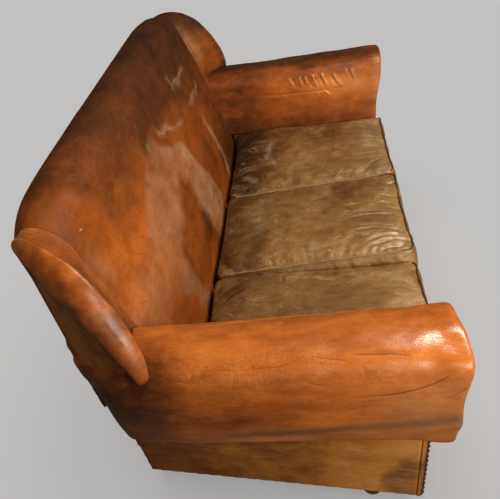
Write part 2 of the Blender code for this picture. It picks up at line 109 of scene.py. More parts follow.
def leather(name, colours, haze_and_sheen_colour, grime_and_shade_colour, gloss, smear, patch_mm=230, fleck_mm=34, crackle_mm=8,
            contrast=1.0, shine=0.5, wrinkles=0.0):
    """Waxed, aniline-dyed hide: colour that wanders in patches, paler where it is rubbed, dark in the folds.

    The smear is a scale for each axis, and a small one draws the flecks out along it. The painted attributes
    are tone (0.5 is neutral), haze (bloom of dried wax, and painted sheen on the wings and the far arm),
    grime (dirt, and painted shade where the back meets the seat and under the wings), crackle, polish, and
    the signed distance to the nearest crease in centimetres (crease) with its strength (crease_depth), below
    0 for
    a pale line: a scratch, and on ridges and crests a painted highlight.
    """
    material, shader, add = new_material(name)
    place = add("TexCoord", out="Object")
    smeared = add("Mapping", {"Vector": place, "Scale": smear})
    tone, haze, grime, crackle, polish, crease, crease_depth = (
        add("Attribute", attribute_name=key, out="Fac") for key in UNPAINTED)
    patches = add("TexNoise", {"Vector": place, "Scale": 1000 / patch_mm, "Detail": 4.0, "Roughness": 0.6,
                               "Distortion": 0.5})
    flecks = add("TexNoise", {"Vector": smeared, "Scale": 1000 / fleck_mm, "Detail": 5.0, "Roughness": 0.62,
                              "Distortion": 0.25})
    specks = add("TexNoise", {"Vector": smeared, "Scale": 1000 / 6, "Detail": 2.0})
    patch_change, fleck_change, speck_change = (
        add("Math SUBTRACT", value, 0.5) for value in (patches, flecks, specks))
    value = add("Math MULTIPLY_ADD", patch_change, 0.70 * contrast, tone)
    value = add("Math MULTIPLY_ADD", fleck_change, 0.50 * contrast, value)
    value = add("Math MULTIPLY_ADD", speck_change, 0.20 * contrast, value, use_clamp=True)
    colour = add("ValToRGB", value, stops=[(number / (len(colours) - 1), linear(code))
                                           for number, code in enumerate(colours)])
    # dried wax shows as a dull pale veil with a brushed edge; the same veil is painted sheen on the wings and
    # the far arm
    veil = add("Math MULTIPLY", haze, add("Math MULTIPLY_ADD", flecks, 2.0, -0.1), use_clamp=True)
    # dirt lies unevenly, and is darkest in the cracks of the finish; the same mix paints shade where the back
    # meets the seat and on the arms under the wings
    dirt_and_shade = add("Math MULTIPLY", grime, add("Math MULTIPLY_ADD", patches, 1.2, 0.35), use_clamp=True)
    waver = add("TexNoise", {"Vector": place, "Scale": 60.0, "Detail": 2.0}, out="Color")
    bent = add("VectorMath ADD", place, add("VectorMath SCALE", {0: waver, "Scale": 0.012}))
    cells = add("TexVoronoi", {"Vector": bent, "Scale": 1000 / crackle_mm}, feature="DISTANCE_TO_EDGE")
    cracks = add("MapRange", cells, 0.0, 0.09, 1.0, 0.0)
    here_and_there = add("Math MULTIPLY_ADD", speck_change, 5.0, 0.6, use_clamp=True)
    cracks = add("Math MULTIPLY", add("Math MULTIPLY", cracks, here_and_there), crackle, use_clamp=True)
    # a crease is a ragged dark line, a scratch a pale one, and so is a painted highlight along a ridge or a
    # crest
    ragged = add("Math ABSOLUTE", add("Math MULTIPLY_ADD", fleck_change, 0.12, crease))
    line = add("MapRange", ragged, 0.05, 0.20, 1.0, 0.0, interpolation_type="SMOOTHSTEP")
    cracks = add("Math MAXIMUM", cracks, add("Math MULTIPLY", line, crease_depth, use_clamp=True))
    pale_line = add("Math MULTIPLY", add("Math MULTIPLY", line, crease_depth), -1.0, use_clamp=True)
    # fine wrinkles wander over slack hide, their ridges rubbed pale
    wandering = add("TexNoise", {"Vector": smeared, "Scale": 1000 / 70, "Detail": 4.0, "Roughness": 0.55,
                                 "Distortion": 0.9})
    ridge = add("Math ABSOLUTE", add("Math SUBTRACT", wandering, 0.5))
    ridge = add("MapRange", ridge, 0.0, 0.014, 1.0, 0.0)
    ridge = add("Math MULTIPLY", ridge, add("Math MULTIPLY_ADD", patches, 5.0, -2.1, use_clamp=True))
    ridge = add("Math MULTIPLY", ridge, wrinkles)
    in_cracks = add("Math MULTIPLY", cracks, 0.72)
    for share, over in ((veil, haze_and_sheen_colour), (dirt_and_shade, grime_and_shade_colour), (in_cracks, grime_and_shade_colour),
                        (pale_line, PALE_RUB_AND_GLINT), (ridge, PALE_RUB_AND_GLINT)):
        colour = add("Mix", {0: share, 6: colour, 7: linear(over)}, data_type="RGBA", out=2)
    rough = add("Math MULTIPLY_ADD", flecks, 0.22, gloss - 0.11)
    for cause, change in ((veil, 0.16), (polish, -0.22)):
        rough = add("Math MULTIPLY_ADD", cause, change, rough)
    rough = add("Math MULTIPLY_ADD", dirt_and_shade, 0.12, rough, use_clamp=True)
    # pores are finer than the view can show, so they are drawn at about 3 mm
    pores = add("TexVoronoi", {"Vector": bent, "Scale": 1000 / 3.2})
    height = add("Math MULTIPLY_ADD", pores, GRAIN, add("Math MULTIPLY", specks, 2.5 * GRAIN))
    for relief, rise in ((flecks, 6 * GRAIN), (cracks, -0.35), (ridge, 0.8)):
        height = add("Math MULTIPLY_ADD", relief, rise, height)
    bump = add("Bump", {"Height": height, "Strength": 0.55, "Distance": 0.0016})
    wire(shader, {"Base Color": colour, "Roughness": rough, "IOR": 1.5, "Specular IOR Level": shine,
                  "Normal": bump})
    return material


# waxed sheepskin, dyed cognac: orange where it is rubbed, umber where wax and dirt have built up
tan_leather = leather("waxed_cognac_sheepskin", ["#261004", "#592b0c", "#914916", "#be6926", "#de9147"],
                      "#a9815c", "#260f05", 0.40, (0.8, 0.35, 1.0), crackle_mm=10, contrast=0.95, shine=0.45)
# the same hide over the back, brushed while the wax was soft, so its streaks run across
back_leather = leather("brushed_cognac_sheepskin", ["#220f04", "#50280b", "#884415", "#bb6625", "#de9147"],
                       "#a08164", "#260f05", 0.46, (0.45, 1.0, 0.8), contrast=0.62, shine=0.20)
# the same hide on the outsides, never polished and darkened by dirt
dark_leather = leather("unpolished_brown_hide", ["#1e0c03", "#40200a", "#6a3d17", "#9a6128", "#b98142"],
                       "#8d7357", "#1d0d04", 0.62, (1.0, 0.3, 0.9), shine=0.22)
# cushion hide: its dye has worn back to a taupe-olive brown
taupe_leather = leather("worn_taupe_hide", ["#321c09", "#593817", "#7d5a31", "#9b794e", "#bfa070"],
                        "#a99878", "#26150a", 0.45, (1.0, 0.55, 1.0), patch_mm=130, fleck_mm=26,
                        wrinkles=0.38)


def iron(name, light, dark):
    """Blackened iron, worn bright on the crowns: metal with cloudy oxide."""
    material, shader, add = new_material(name)
    oxide = add("TexNoise", {"Vector": add("TexCoord", out="Object"), "Scale": 1000 / 5, "Detail": 3.0})
    wire(shader, {"Base Color": add("ValToRGB", oxide, stops=[(0.35, linear(dark)), (0.70, linear(light))]),
                  "Roughness": add("Math MULTIPLY_ADD", oxide, -0.25, 0.60), "Metallic": 1.0})
    return material


blackened_iron = iron("blackened_iron", "#6e5a48", "#2a1d14")


def wood(name, axis, light, dark, gloss, bump_depth):
    """Planed timber with its grain along an axis: fine dark lines and slow bands of colour."""
    material, shader, add = new_material(name)
    stretch = [0.06 if letter == axis else 1.0 for letter in "XYZ"]
    run = add("Mapping", {"Vector": add("TexCoord", out="Object"), "Scale": stretch})
    lines = add("TexNoise", {"Vector": run, "Scale": 1000 / 3, "Detail": 4.0, "Distortion": 0.4})
    bands = add("TexNoise", {"Vector": run, "Scale": 1000 / 22, "Detail": 2.0})
    value = add("Math MULTIPLY_ADD", lines, 0.55, add("Math MULTIPLY", bands, 0.45))
    wire(shader, {"Base Color": add("ValToRGB", value, stops=[(0.30, linear(dark)), (0.62, linear(light))]),
                  "Roughness": add("Math MULTIPLY_ADD", lines, 0.15, gloss),
                  "Normal": add("Bump", {"Height": lines, "Strength": 0.4, "Distance": bump_depth})})
    return material, shader


def woven(name, yarn_mm, light, dark, gloss):
    """Plain weave: yarns of one width over and under each other, with slubs and gaps."""
    material, shader, add = new_material(name)
    place = add("TexCoord", out="Object")
    loose = add("TexNoise", {"Vector": place, "Scale": 70.0, "Detail": 2.0})
    x, y, z = add("SeparateXYZ", place).node.outputs
    turns = 1000 * math.pi / yarn_mm
    across = add("Math SINE", add("Math MULTIPLY", x, turns))
    down = add("Math SINE", add("Math MULTIPLY", add("Math ADD", y, z), turns))
    weave = add("Math MULTIPLY", across, down)
    value = add("Math MULTIPLY_ADD", loose, 0.5, 0.25)
    value = add("Math MULTIPLY_ADD", weave, 0.28, value, use_clamp=True)
    wire(shader, {"Base Color": add("ValToRGB", value, stops=[(0.15, linear(dark)), (0.75, linear(light))]),
                  "Roughness": gloss,
                  "Normal": add("Bump", {"Height": weave, "Strength": 0.7, "Distance": 0.0008})})
    return material


def dress_frame():
    """Give every piece of the frame that stays in view its timber, webbing or cloth."""
    timber = {axis: wood(f"planed_beech_{axis}", axis, "#cda677", "#a67c4c", 0.55, 0.0003)[0]
              for axis in "XYZ"}
    # turned feet, stained dark and lacquered, so they shine under the hem
    lacquered, shader = wood("lacquered_dark_wood", "Z", "#4b2a14", "#1d0d05", 0.18, 0.0001)
    wire(shader, {"Coat Weight": 0.6, "Coat Roughness": 0.12})
    # jute webbing is woven from coarse 4 mm yarn, hessian from 2.4 mm yarn; the dust cloth is a black cotton
    finishes = {"tan_leather": tan_leather, "dark_leather": dark_leather, "taupe_leather": taupe_leather,
                "lacquered_wood": lacquered,
                "jute_webbing": woven("woven_jute_webbing", 4.0, "#b99565", "#6d5129", 0.9),
                "hessian": woven("woven_hessian", 2.4, "#a98a5c", "#5f4828", 0.92),
                "black_cloth": woven("black_cotton_cambric", 2.0, "#201d1b", "#0c0b0a", 0.95)}
    for name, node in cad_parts.items():
        low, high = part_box(name)
        longest = "XYZ"[int(np.argmax(np.subtract(high, low)))]
        for holder in node.material_slots:
            kind = holder.material.name.split(".")[0]
            holder.material = timber[longest] if kind == "beech" else finishes[kind]


# ---------------------------------------------------------------- shapes
def add_object(name, mesh, *materials):
    obj = bpy.data.objects.new(name, mesh)
    SCENE.collection.objects.link(obj)
    for material in materials:
        mesh.materials.append(material)
    return obj


def built(bm, name, *materials):
    """A new object with the shape of a finished bmesh."""
    mesh = bpy.data.meshes.new(name)
    bm.to_mesh(mesh)
    bm.free()
    return add_object(name, mesh, *materials)


def rounded(outline, steps):
    """Round the corners of an outline of (u, v, radius) points with arcs."""
    points = []
    for i, (u, v, radius) in enumerate(outline):
        corner = Vector((u, v))
        before = Vector(outline[i - 1][:2]) - corner
        after = Vector(outline[(i + 1) % len(outline)][:2]) - corner
        half = before.angle(after) / 2
        if radius <= 0 or abs(half - math.pi / 2) < 0.01:
            points.append((u, v))
            continue
        run = min(radius / math.tan(half), before.length * 0.49, after.length * 0.49)
        radius = run * math.tan(half)
        centre = corner + (before.normalized() + after.normalized()).normalized() * radius / math.sin(half)
        start = corner + before.normalized() * run - centre
        turn = start.angle_signed(corner + after.normalized() * run - centre)
        for step in range(steps + 1):
            swung = start.copy()
            swung.rotate(Matrix.Rotation(-turn * step / steps, 2))
            points.append(tuple(centre + swung))
    return points


def spaced(outline, count):
    """The closed outline with evenly spaced points, the first one kept."""
    points = np.array(list(outline) + [outline[0]], float)
    run = np.concatenate([[0.0], np.cumsum(np.linalg.norm(np.diff(points, axis=0), axis=1))])
    wanted = np.linspace(0.0, run[-1], count, endpoint=False)
    return np.stack([np.interp(wanted, run, points[:, k]) for k in range(points.shape[1])], axis=1)


def through(table, steps):
    """Smooth curve through the rows of a table (Catmull-Rom), in so many steps from each row to the next."""
    table = np.asarray(table, float)
    padded = np.vstack([2 * table[0] - table[1], table, 2 * table[-1] - table[-2]])
    result = []
    for place in np.linspace(0, len(table) - 1, steps * (len(table) - 1) + 1):
        i = min(int(place), len(table) - 2)
        t = place - i
        p0, p1, p2, p3 = padded[i:i + 4]
        result.append(0.5 * (2 * p1 + (p2 - p0) * t + (2 * p0 - 5 * p1 + 4 * p2 - p3) * t ** 2
                             + (3 * p1 - p0 - 3 * p2 + p3) * t ** 3))
    return np.array(result)


def drawn_in(outline, amount, centre):
    """The outline drawn in towards a centre by a distance, or by one distance for each of its points."""
    arm = np.asarray(outline, float) - np.asarray(centre, float)
    length = np.linalg.norm(arm, axis=1)
    share = np.maximum(0.0, 1 - np.asarray(amount, float) / length)
    return np.asarray(centre, float) + arm * share[:, None]


def loft(name, rings, material):
    """Lay a grid over closed rings of points, join its seam, cap its ends and refine it.

    The attribute across stays on the skin: metres round the ring from its first point.
    """
    rings = np.asarray(rings, float)
    count, size = rings.shape[:2]
    turn = np.cumsum(np.linalg.norm(rings - np.roll(rings, 1, axis=1), axis=2), axis=1)
    turn -= turn[:, :1]
    bm = bmesh.new()
    across = bm.verts.layers.float.new("across")
    bmesh.ops.create_grid(bm, x_segments=size, y_segments=count - 1, size=1.0)
    for vert in bm.verts:
        i, j = round((vert.co.x + 1) * size / 2) % size, round((vert.co.y + 1) * (count - 1) / 2)
        vert.co = rings[j, i]
        vert[across] = turn[j, i]
    bmesh.ops.remove_doubles(bm, verts=[v for v in bm.verts if v.is_boundary], dist=1e-6)
    ends = [e for e in bm.edges if e.is_boundary]
    caps = bmesh.ops.holes_fill(bm, edges=ends, sides=0)["faces"]
    for _ in range(2):
        bmesh.ops.inset_individual(bm, faces=caps, thickness=0.008)
    bmesh.ops.triangulate(bm, faces=caps)
    bmesh.ops.recalc_face_normals(bm, faces=bm.faces)
    obj = built(bm, name, material)
    modify(obj, "SUBSURF", levels=1, render_levels=1)
    return obj


def keep_evaluated(obj):
    """Replace the mesh by what its modifiers make of it, smoothly shaded, and drop them."""
    bpy.context.view_layer.update()
    graph = bpy.context.evaluated_depsgraph_get()
    mesh = bpy.data.meshes.new_from_object(obj.evaluated_get(graph), preserve_all_data_layers=True,
                                           depsgraph=graph)
    obj.modifiers.clear()
    old, obj.data = obj.data, mesh
    mesh.name = obj.name
    mesh.shade_smooth()
    bpy.data.meshes.remove(old)


def modify(obj, kind, **settings):
    """Put one modifier with its settings on a mesh and keep what it makes."""
    modifier = obj.modifiers.new("finish", kind)
    for key, value in settings.items():
        setattr(modifier, key, value)
    keep_evaluated(obj)


def points_of(obj):
    values = np.empty(len(obj.data.vertices) * 3)
    obj.data.vertices.foreach_get("co", values)
    return values.reshape(-1, 3)


def normals_of(obj):
    values = np.empty(len(obj.data.vertices) * 3, np.float32)
    obj.data.vertex_normals.foreach_get("vector", values)
    return values.reshape(-1, 3).astype(float)


def move_points(obj, points):
    obj.data.vertices.foreach_set("co", np.ascontiguousarray(points, dtype=np.float32).ravel())
    obj.data.update()


def attribute(obj, name):
    values = np.zeros(len(obj.data.vertices), np.float32)
    found = obj.data.attributes.get(name)
    if found:
        found.data.foreach_get("value", values)
    return values.astype(float)


def paint(obj, **values):
    """Write float attributes, one value a vertex, for the materials to read."""
    for name, value in {**UNPAINTED, **values}.items():
        layer = obj.data.attributes.get(name) or obj.data.attributes.new(name, "FLOAT", "POINT")
        full = np.broadcast_to(np.asarray(value, np.float32), (len(obj.data.vertices),))
        layer.data.foreach_set("value", np.ascontiguousarray(full))


def clouds(points, size, seed, depth=3):
    """Smooth noise from -1 to 1 at each point; size is the width of a cloud in metres."""
    shift = Vector((seed * 7.3, seed * -3.1, seed * 5.7))
    return np.array([noise.fractal(Vector(p) / size + shift, 0.7, 2.0, depth) for p in points])


def to_path(points, path):
    """Distance from each point to a polyline, and how far along it the nearest spot is, from 0 to 1."""
    points = np.asarray(points, float)
    path = np.asarray(path, float)
    lengths = np.linalg.norm(np.diff(path, axis=0), axis=1)
    best = np.full(len(points), 1e9)
    where = np.zeros(len(points))
    run = 0.0
    for a, b, length in zip(path, path[1:], lengths):
        t = np.clip(((points - a) @ (b - a)) / max(length ** 2, 1e-12), 0, 1)
        distance = np.linalg.norm(points - (a + t[:, None] * (b - a)), axis=1)
        closer = distance < best
        best[closer] = distance[closer]
        where[closer] = (run + t[closer] * length) / lengths.sum()
        run += length
    return best, where


def soft(value, low, high):
    """0 below one bound, 1 above the other, with a smooth step between them."""
    t = np.clip((np.asarray(value, float) - low) / (high - low), 0, 1)
    return t * t * (3 - 2 * t)


def fade(where, ends):
    """1 in the middle of a path and 0 at both ends."""
    return soft(where, 0, ends) * soft(1 - where, 0, ends)


def valley(distance, width):
    """Depth profile of a fold: a narrow groove with a low swell on either side."""
    t = distance / width
    return -np.exp(-(t * 1.6) ** 2) + 0.45 * np.exp(-((t - 1.25) / 0.55) ** 2)


def pairs(numbers):
    """Pairs from a run of thousandths, so that millimetres come out as metres."""
    return np.reshape(numbers, (-1, 2)) / 1000


def creases(places, rows, reach=0.009):
    """Signed distance in centimetres to the nearest crease, and its strength, for places on a flat map.

    A row is a strength in hundredths, then the crease's path in millimetres; it fades at its ends.
    """
    signed = np.full(len(places), UNPAINTED["crease"])
    strength = np.zeros(len(places))
    nearest = np.full(len(places), 1e9)
    for depth, *path in rows:
        path = through(pairs(path), 4) if len(path) > 4 else pairs(path)
        for k, (a, b) in enumerate(zip(path, path[1:])):
            run = b - a
            t = np.clip(((places - a) @ run) / (run @ run), 0, 1)
            off = places - (a + t[:, None] * run)
            distance = np.hypot(off[:, 0], off[:, 1])
            closer = distance < nearest
            side = np.sign(run[0] * off[:, 1] - run[1] * off[:, 0])
            nearest[closer] = distance[closer]
            signed[closer] = (side * distance)[closer] * 100
            share = (k + t) / (len(path) - 1)
            strength[closer] = (depth / 100 * fade(share, 0.25))[closer]
    return signed, strength * (1 - soft(nearest, reach * 0.6, reach))


def press_creases(points, normals, signed, strength, depth, width):
    """Sink the skin along its creases, with a low swell beside each."""
    return points + normals * (valley(np.abs(signed) / 100, width) * strength * depth)[:, None]


def washes(places, *marks):
    """Sum of soft washes; a mark is an amount in hundredths, then its centre and its radii in millimetres."""
    total = 0.0
    for amount, *spot in marks:
        centre, radii = pairs(spot)
        total = total + amount / 100 * np.exp(-((places - centre) ** 2 / radii ** 2).sum(axis=1))
    return total


def strokes(places, *rows):
    """Sum of soft lines, faded at their ends; a row is an amount in hundredths, a width and a path (mm)."""
    total = 0.0
    for amount, width, *path in rows:
        distance, where = to_path(places, pairs(path))
        total = total + amount / 100 * np.exp(-(distance / (width / 1000)) ** 2) * fade(where, 0.15)
    return total


def within(places, edge, outline):
    """1 inside an outline (u, v, ... in millimetres) on the flat map, fading over its border."""
    loop = pairs(outline + outline[:2])
    u, v = places.T
    inside = np.zeros(len(u), bool)
    for a, b in zip(loop, loop[1:]):
        crosses = (a[1] > v) != (b[1] > v)
        inside ^= crosses & (u < a[0] + (b[0] - a[0]) * (v - a[1]) / (b[1] - a[1] or 1e-9))
    distance, _ = to_path(places, loop)
    return soft(np.where(inside, distance, -distance), -edge, edge)


def drift(points, size, *seeds):
    """A smooth shift for each point, so that no painted edge runs straight."""
    return np.stack([clouds(points, size, seed) for seed in seeds], axis=1)


def tube(name, paths, radius, material, cyclic):
    """A welt: a round cord along one path or several."""
    curve = bpy.data.curves.new(name, "CURVE")
    curve.dimensions = "3D"
    curve.bevel_depth, curve.bevel_resolution = radius, 2
    curve.use_fill_caps = True
    for path in paths:
        spline = curve.splines.new("POLY")
        spline.points.add(len(path) - 1)
        for point, place in zip(spline.points, path):
            point.co = (*place, 1.0)
        spline.use_cyclic_u = cyclic
    holder = bpy.data.objects.new(name + "_path", curve)
    SCENE.collection.objects.link(holder)
    bpy.context.view_layer.update()
    mesh = bpy.data.meshes.new_from_object(holder.evaluated_get(bpy.context.evaluated_depsgraph_get()))
    bpy.data.objects.remove(holder, do_unlink=True)
    mesh.shade_smooth()
    return add_object(name, mesh, material)


def finish_piece(obj, replaced):
    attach(obj, "root")
    if replaced:
        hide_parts(*replaced)


# ---------------------------------------------------------------- arms
ARM_IN, ARM_OUT, ARM_HEM = 0.757, 0.950, 0.374
ARM_TOP, ARM_FALL, ARM_FRONT = 0.676, 0.055, -0.468  # height at the front, and how it falls to the rear
ARM_CENTRE = (0.850, 0.520)  # its front is drawn in towards this spot
ARM_LIP = 0.011  # how far the outside hangs below the inside
ARM_POINTS, ARM_STEP = 104, 0.0105  # points round a section, and from one section to the next
ARM_PRESS = 0.037  # how deep a wing sits in the padding
# along the arm: depth, and how far the outer side has come in
ARM_NARROW = pairs((140, 0, 170, 2, 195, 5, 230, 9, 270, 14, 305, 26, 334, 52, 356, 82, 376, 112, 400, 135))
# and how far the lower edge has come in
ARM_HEM_IN = pairs((140, 0, 270, 8, 300, 14.5, 330, 50, 360, 90, 387, 124))
# the padded front rolls over from the end to the sides: depth, and how far the outline is drawn in
ARM_ROLL = pairs((-481.5, 70, -481.3, 48, -480.7, 30, -479.7, 18, -478, 10.5, -475.5, 5.5, -471.5, 2.2,
                  -466, 0.6, -458, 0))


def arm_narrow(y):
    return np.interp(y, *ARM_NARROW.T)


def arm_press(x, y):
    """How far the wing presses an arm's top down: nothing in front of the wing, all of it behind its face."""
    share = np.clip((np.asarray(x) - ARM_IN) / 0.176, 0, 1)
    face = 0.263 - 0.072 * share ** 1.7
    outer = 0.022 * soft(np.asarray(x) + arm_narrow(y), 0.84, 0.94)
    return (ARM_PRESS + outer) * soft((y - face) / (0.022 + 1.6 * outer), 0.0, 1.0)


def arm_outline(y, lift=0.0):
    """Section of a right arm at depth y: flat against the seat, full on top, round over the outside."""
    narrow = arm_narrow(y)
    hem = 0.912 - np.interp(y, *ARM_HEM_IN.T)
    top = ARM_TOP - ARM_FALL * (y - ARM_FRONT)
    out = ARM_OUT - narrow
    board = 0.8663 - 0.12 * (y + 0.404)
    end, behind = float(soft(-y, 0.34, 0.46)), float(soft(y, 0.29, 0.345))
    raised = top + lift * end
    outline = [(ARM_IN + 0.001, ARM_HEM, 0.004),
               (ARM_IN + 0.001, raised - 0.030 + 0.004 * end, 0.050 - 0.015 * end),
               (0.795, raised - 0.002, 0.10), (0.862 - narrow * 0.4, raised + 0.003 - 0.004 * end, 0.25),
               (out - 0.004 + 0.006 * end, raised - 0.014 - 0.018 * end, 0.075 - 0.042 * end),
               (out + 0.004 - 0.004 * end - 0.007 * behind, 0.530, 0.30),
               (out - 0.008 - 0.014 * behind, 0.440, 0.20),
               (hem + 0.012 * end, ARM_HEM - ARM_LIP, 0.012 - 0.004 * end),
               (board + 0.012, ARM_HEM - ARM_LIP, 0.003), (board + 0.004, ARM_HEM, 0.002)]
    return spaced(rounded(outline, 7), ARM_POINTS)


def arm_height(x, y):
    """Height of an arm's top at a spot, for what rests on it."""
    narrow = arm_narrow(y)
    inner, outer = np.clip((0.797 - x) / 0.040, 0, 1) ** 2, soft(x, 0.88 - narrow, 0.950 - narrow)
    return ARM_TOP - ARM_FALL * (y - ARM_FRONT) - arm_press(x, y) - 0.036 * inner - 0.022 * outer


# by depth along the arm and millimetres round its section from the seat side; the far arm's folds come first,
# then the glints on their ridges: painted highlights, drawn as pale lines
NEAR_ARM_CREASES = ((100, -190, 524, -280, 530, -335, 528, -375, 517, -405, 501, -432, 478),
    (80, -215, 421, -265, 428, -313, 434, -355, 443), (60, -140, 416, -187, 428, -228, 436),
    (60, -120, 458, -150, 477, -185, 490), (60, -405, 563, -437, 549, -460, 526),
    (45, 120, 413, 40, 424, -29, 429, -90, 430, -118, 419), (25, 108, 452, 99, 420, 88, 388),
    (25, 73, 400, 86, 438, 100, 462), (25, 205, 400, 165, 422, 120, 440, 60, 447),
    (35, 20, 395, 12, 440, 22, 480), (35, -60, 380, -55, 425), (35, -265, 470, -300, 482, -345, 480),
    (30, -250, 445, -262, 490), (-45, 180, 291, 0, 289, -200, 290, -420, 292),
    (-35, 200, 724, 0, 732, -200, 736, -420, 738))
FAR_ARM_CREASES_AND_GLINTS = ((60, 75, 176, -40, 170, -134, 172, -250, 178, -345, 185), (80, -100, 240, -120, 192),
    (80, -142, 242, -158, 197), (90, -168, 246, -175, 215, -192, 185), (100, -208, 254, -240, 190),
    (90, -258, 244, -294, 188), (70, -228, 184, -266, 158), (70, -330, 266, -356, 203),
    (-80, -88, 240, -108, 200), (-70, -130, 245, -146, 195), (-90, -156, 242, -165, 205),
    (-100, -186, 250, -196, 222, -214, 182), (-100, -222, 252, -250, 190), (-90, -272, 246, -300, 198),
    (-60, -234, 176, -264, 150), (-60, -300, 215, -318, 178), (-50, -345, 262, -366, 213),
    (-50, -200, 170, -218, 148))


# on the near arm, the dark washes at the rear, under and behind the wing, are painted shade
NEAR_ARM_WASHES = ((10, -310, 455, 160, 55), (-34, 255, 475, 130, 75), (-16, 200, 400, 70, 50),
    (-12, 80, 545, 160, 50), (-10, -40, 600, 100, 60), (-12, -40, 290, 120, 50), (-14, 240, 660, 90, 100),
    (6, -440, 600, 60, 100), (-6, 100, 345, 50, 30), (4, -20, 385, 50, 20), (-30, 310, 400, 80, 70),
    (-8, 300, 560, 80, 60), (-10, 170, 490, 80, 60), (-9, -80, 295, 220, 25), (8, -300, 630, 130, 40),
    (8, -360, 710, 140, 30), (-7, -450, 350, 40, 50), (5, -300, 420, 60, 30), (6, 100, 680, 160, 40),
    (6, 250, 580, 40, 50), (-32, 370, 430, 60, 110), (-5, -130, 353, 60, 25), (-3, -330, 350, 60, 30),
    (-24, 380, 330, 25, 80), (-14, 345, 420, 30, 40))
# on the far arm, the lighter washes along its top inner corner and at its front end are partly painted
# highlight
FAR_ARM_WASHES = ((26, -310, 190, 200, 50), (12, -60, 190, 140, 45), (-5, -200, 40, 200, 40),
    (-16, -323, 281, 35, 18), (-14, -334, 136, 20, 16), (-4, 100, 70, 100, 50), (-7, -280, 345, 140, 30),
    (6, -280, 225, 110, 30), (-5, -80, 245, 70, 30), (-5, -200, 60, 220, 30), (7, 180, 90, 70, 60),
    (9, -240, 215, 130, 25), (12, -460, 200, 22, 160), (-3, -160, 268, 80, 20))


ARM_MARKS = {
    "left": {"lift": 0.0, "fold": (0.0022, 0.0065), "creases": NEAR_ARM_CREASES, "washes": NEAR_ARM_WASHES,
             "crackle": ((100, 20, 430, 140, 50), (60, -280, 470, 80, 40), (45, -170, 420, 100, 60),
                         (35, -350, 550, 100, 50)),
             "haze": ((42, -400, 600, 100, 110), (22, -100, 690, 300, 40))},
    # the far arm's haze is painted sheen on its top inner corner and its front end
    "right": {"lift": 0.009, "fold": (0.0034, 0.0085), "creases": FAR_ARM_CREASES_AND_GLINTS, "washes": FAR_ARM_WASHES,
              "crackle": ((30, -200, 220, 100, 50),),
              "haze": ((10, -210, 220, 110, 35), (30, -360, 205, 60, 45), (32, -456, 235, 18, 35),
                       (25, -460, 100, 30, 140))}}


def arm_rings(sign, lift):
    """Sections of an arm, from its rolled-over front to its end against the rear of the frame."""
    sections = [(y, drawn_in(arm_outline(y, lift), inset, ARM_CENTRE)) for y, inset in ARM_ROLL]
    sections += [(y, arm_outline(y, lift)) for y in np.arange(-0.449, 0.376, ARM_STEP)]
    rings = [[(sign * x, y, z) for x, z in section] for y, section in sections]
    return rings + [[(sign * x, frame_rear(z) - 0.0005, z) for x, z in arm_outline(0.387)]]


def build_arm(side, sign):
    """One padded arm under its leather, pressed down at the rear by the wing that sits on it."""
    marks, near = ARM_MARKS[side], sign < 0
    arm = loft(f"{side}_arm_leather", arm_rings(sign, marks["lift"]), tan_leather)
    points, normals = points_of(arm), normals_of(arm)
    swell = 0.0035 * clouds(points, 0.22, 1 + sign) + 0.0005 * clouds(points, 0.05, 3 + sign)
    free = soft(np.abs(points[:, 0]), ARM_IN + 0.002, ARM_IN + 0.03)
    free *= soft(points[:, 2], ARM_HEM, ARM_HEM + 0.03)
    points = points + normals * (swell * free)[:, None]
    points[:, 2] -= arm_press(np.abs(points[:, 0]), points[:, 1]) * soft(points[:, 2], 0.46, 0.65)
    # the padded end stands forward at the shoulder and hollows below it
    over, height = soft(np.abs(points[:, 0]), 0.80, 0.94), points[:, 2]
    hollow = 0.009 * np.exp(-((height - 0.530) / 0.060) ** 2) + 0.006 * soft(0.45 - height, 0.0, 0.05)
    inside = 0.026 if near else 0.008 + 0.016 * soft(0.60 - height, 0.0, 0.15)
    points[:, 1] += ((1 - over) * inside + over * (0.009 + hollow)) * soft(-points[:, 1], 0.34, 0.475)
    places = np.stack([points[:, 1], attribute(arm, "across")], axis=1)
    signed, strength = creases(places, marks["creases"])
    move_points(arm, press_creases(points, normals, signed, strength, *marks["fold"]))
    y, across = places.T
    if near:
        tone = 0.66 - 0.10 * soft(y, -0.05, 0.33) - 0.12 * soft(across, 0.46, 0.60)
    else:
        tone = (0.47 - 0.26 * soft(across, 0.25, 0.34) * (1 - 0.7 * soft(across, 0.42, 0.55))
                - 0.20 * soft(y, -0.10, 0.18) - 0.09 * soft(0.10 - across, 0.0, 0.06) * soft(y, -0.42, -0.34))
    # a darker band runs along the outside, low down on its front half
    band = np.exp(-((across - 0.640) / 0.022) ** 2) * soft(-y, -0.16, 0.02)
    polish = washes(places, (100, -420, 420, 100, 90), (90, -200, 220, 200, 50))
    # dark lines in the folds, and on the far arm the pale lines of painted glints on their ridges
    fold_dirt_and_glints = 1.0 if near else np.where(strength < 0, 0.8, 0.25)
    paint(arm, tone=tone + washes(places, *marks["washes"]),
          haze=0.30 * band + washes(places, *marks["haze"]),
          # the grime on the outer rear, under the wing, is painted shade
          grime=0.50 * band + 0.30 * soft(y, 0.12, 0.30) * soft(across, 0.36, 0.46),
          crackle=0.8 * washes(places, *marks["crackle"]), polish=np.minimum(1, polish),
          crease=signed, crease_depth=strength * fold_dirt_and_glints)
    finish_piece(arm, [f"{side}_arm"])


# ---------------------------------------------------------------- back
BACK_HALF, BACK_DROP = 0.7565, 0.032
BACK_CENTRE = (0.40, 0.80)  # its ends are drawn in towards this spot
SEAM_EDGE, SEAM_INSET = 0.0012, 0.001  # over this width, by this much


def frame_rear(z):
    """Depth of the frame's rear face, which leans back."""
    return 0.345 + 0.14 * (z - 0.06) - 0.0109


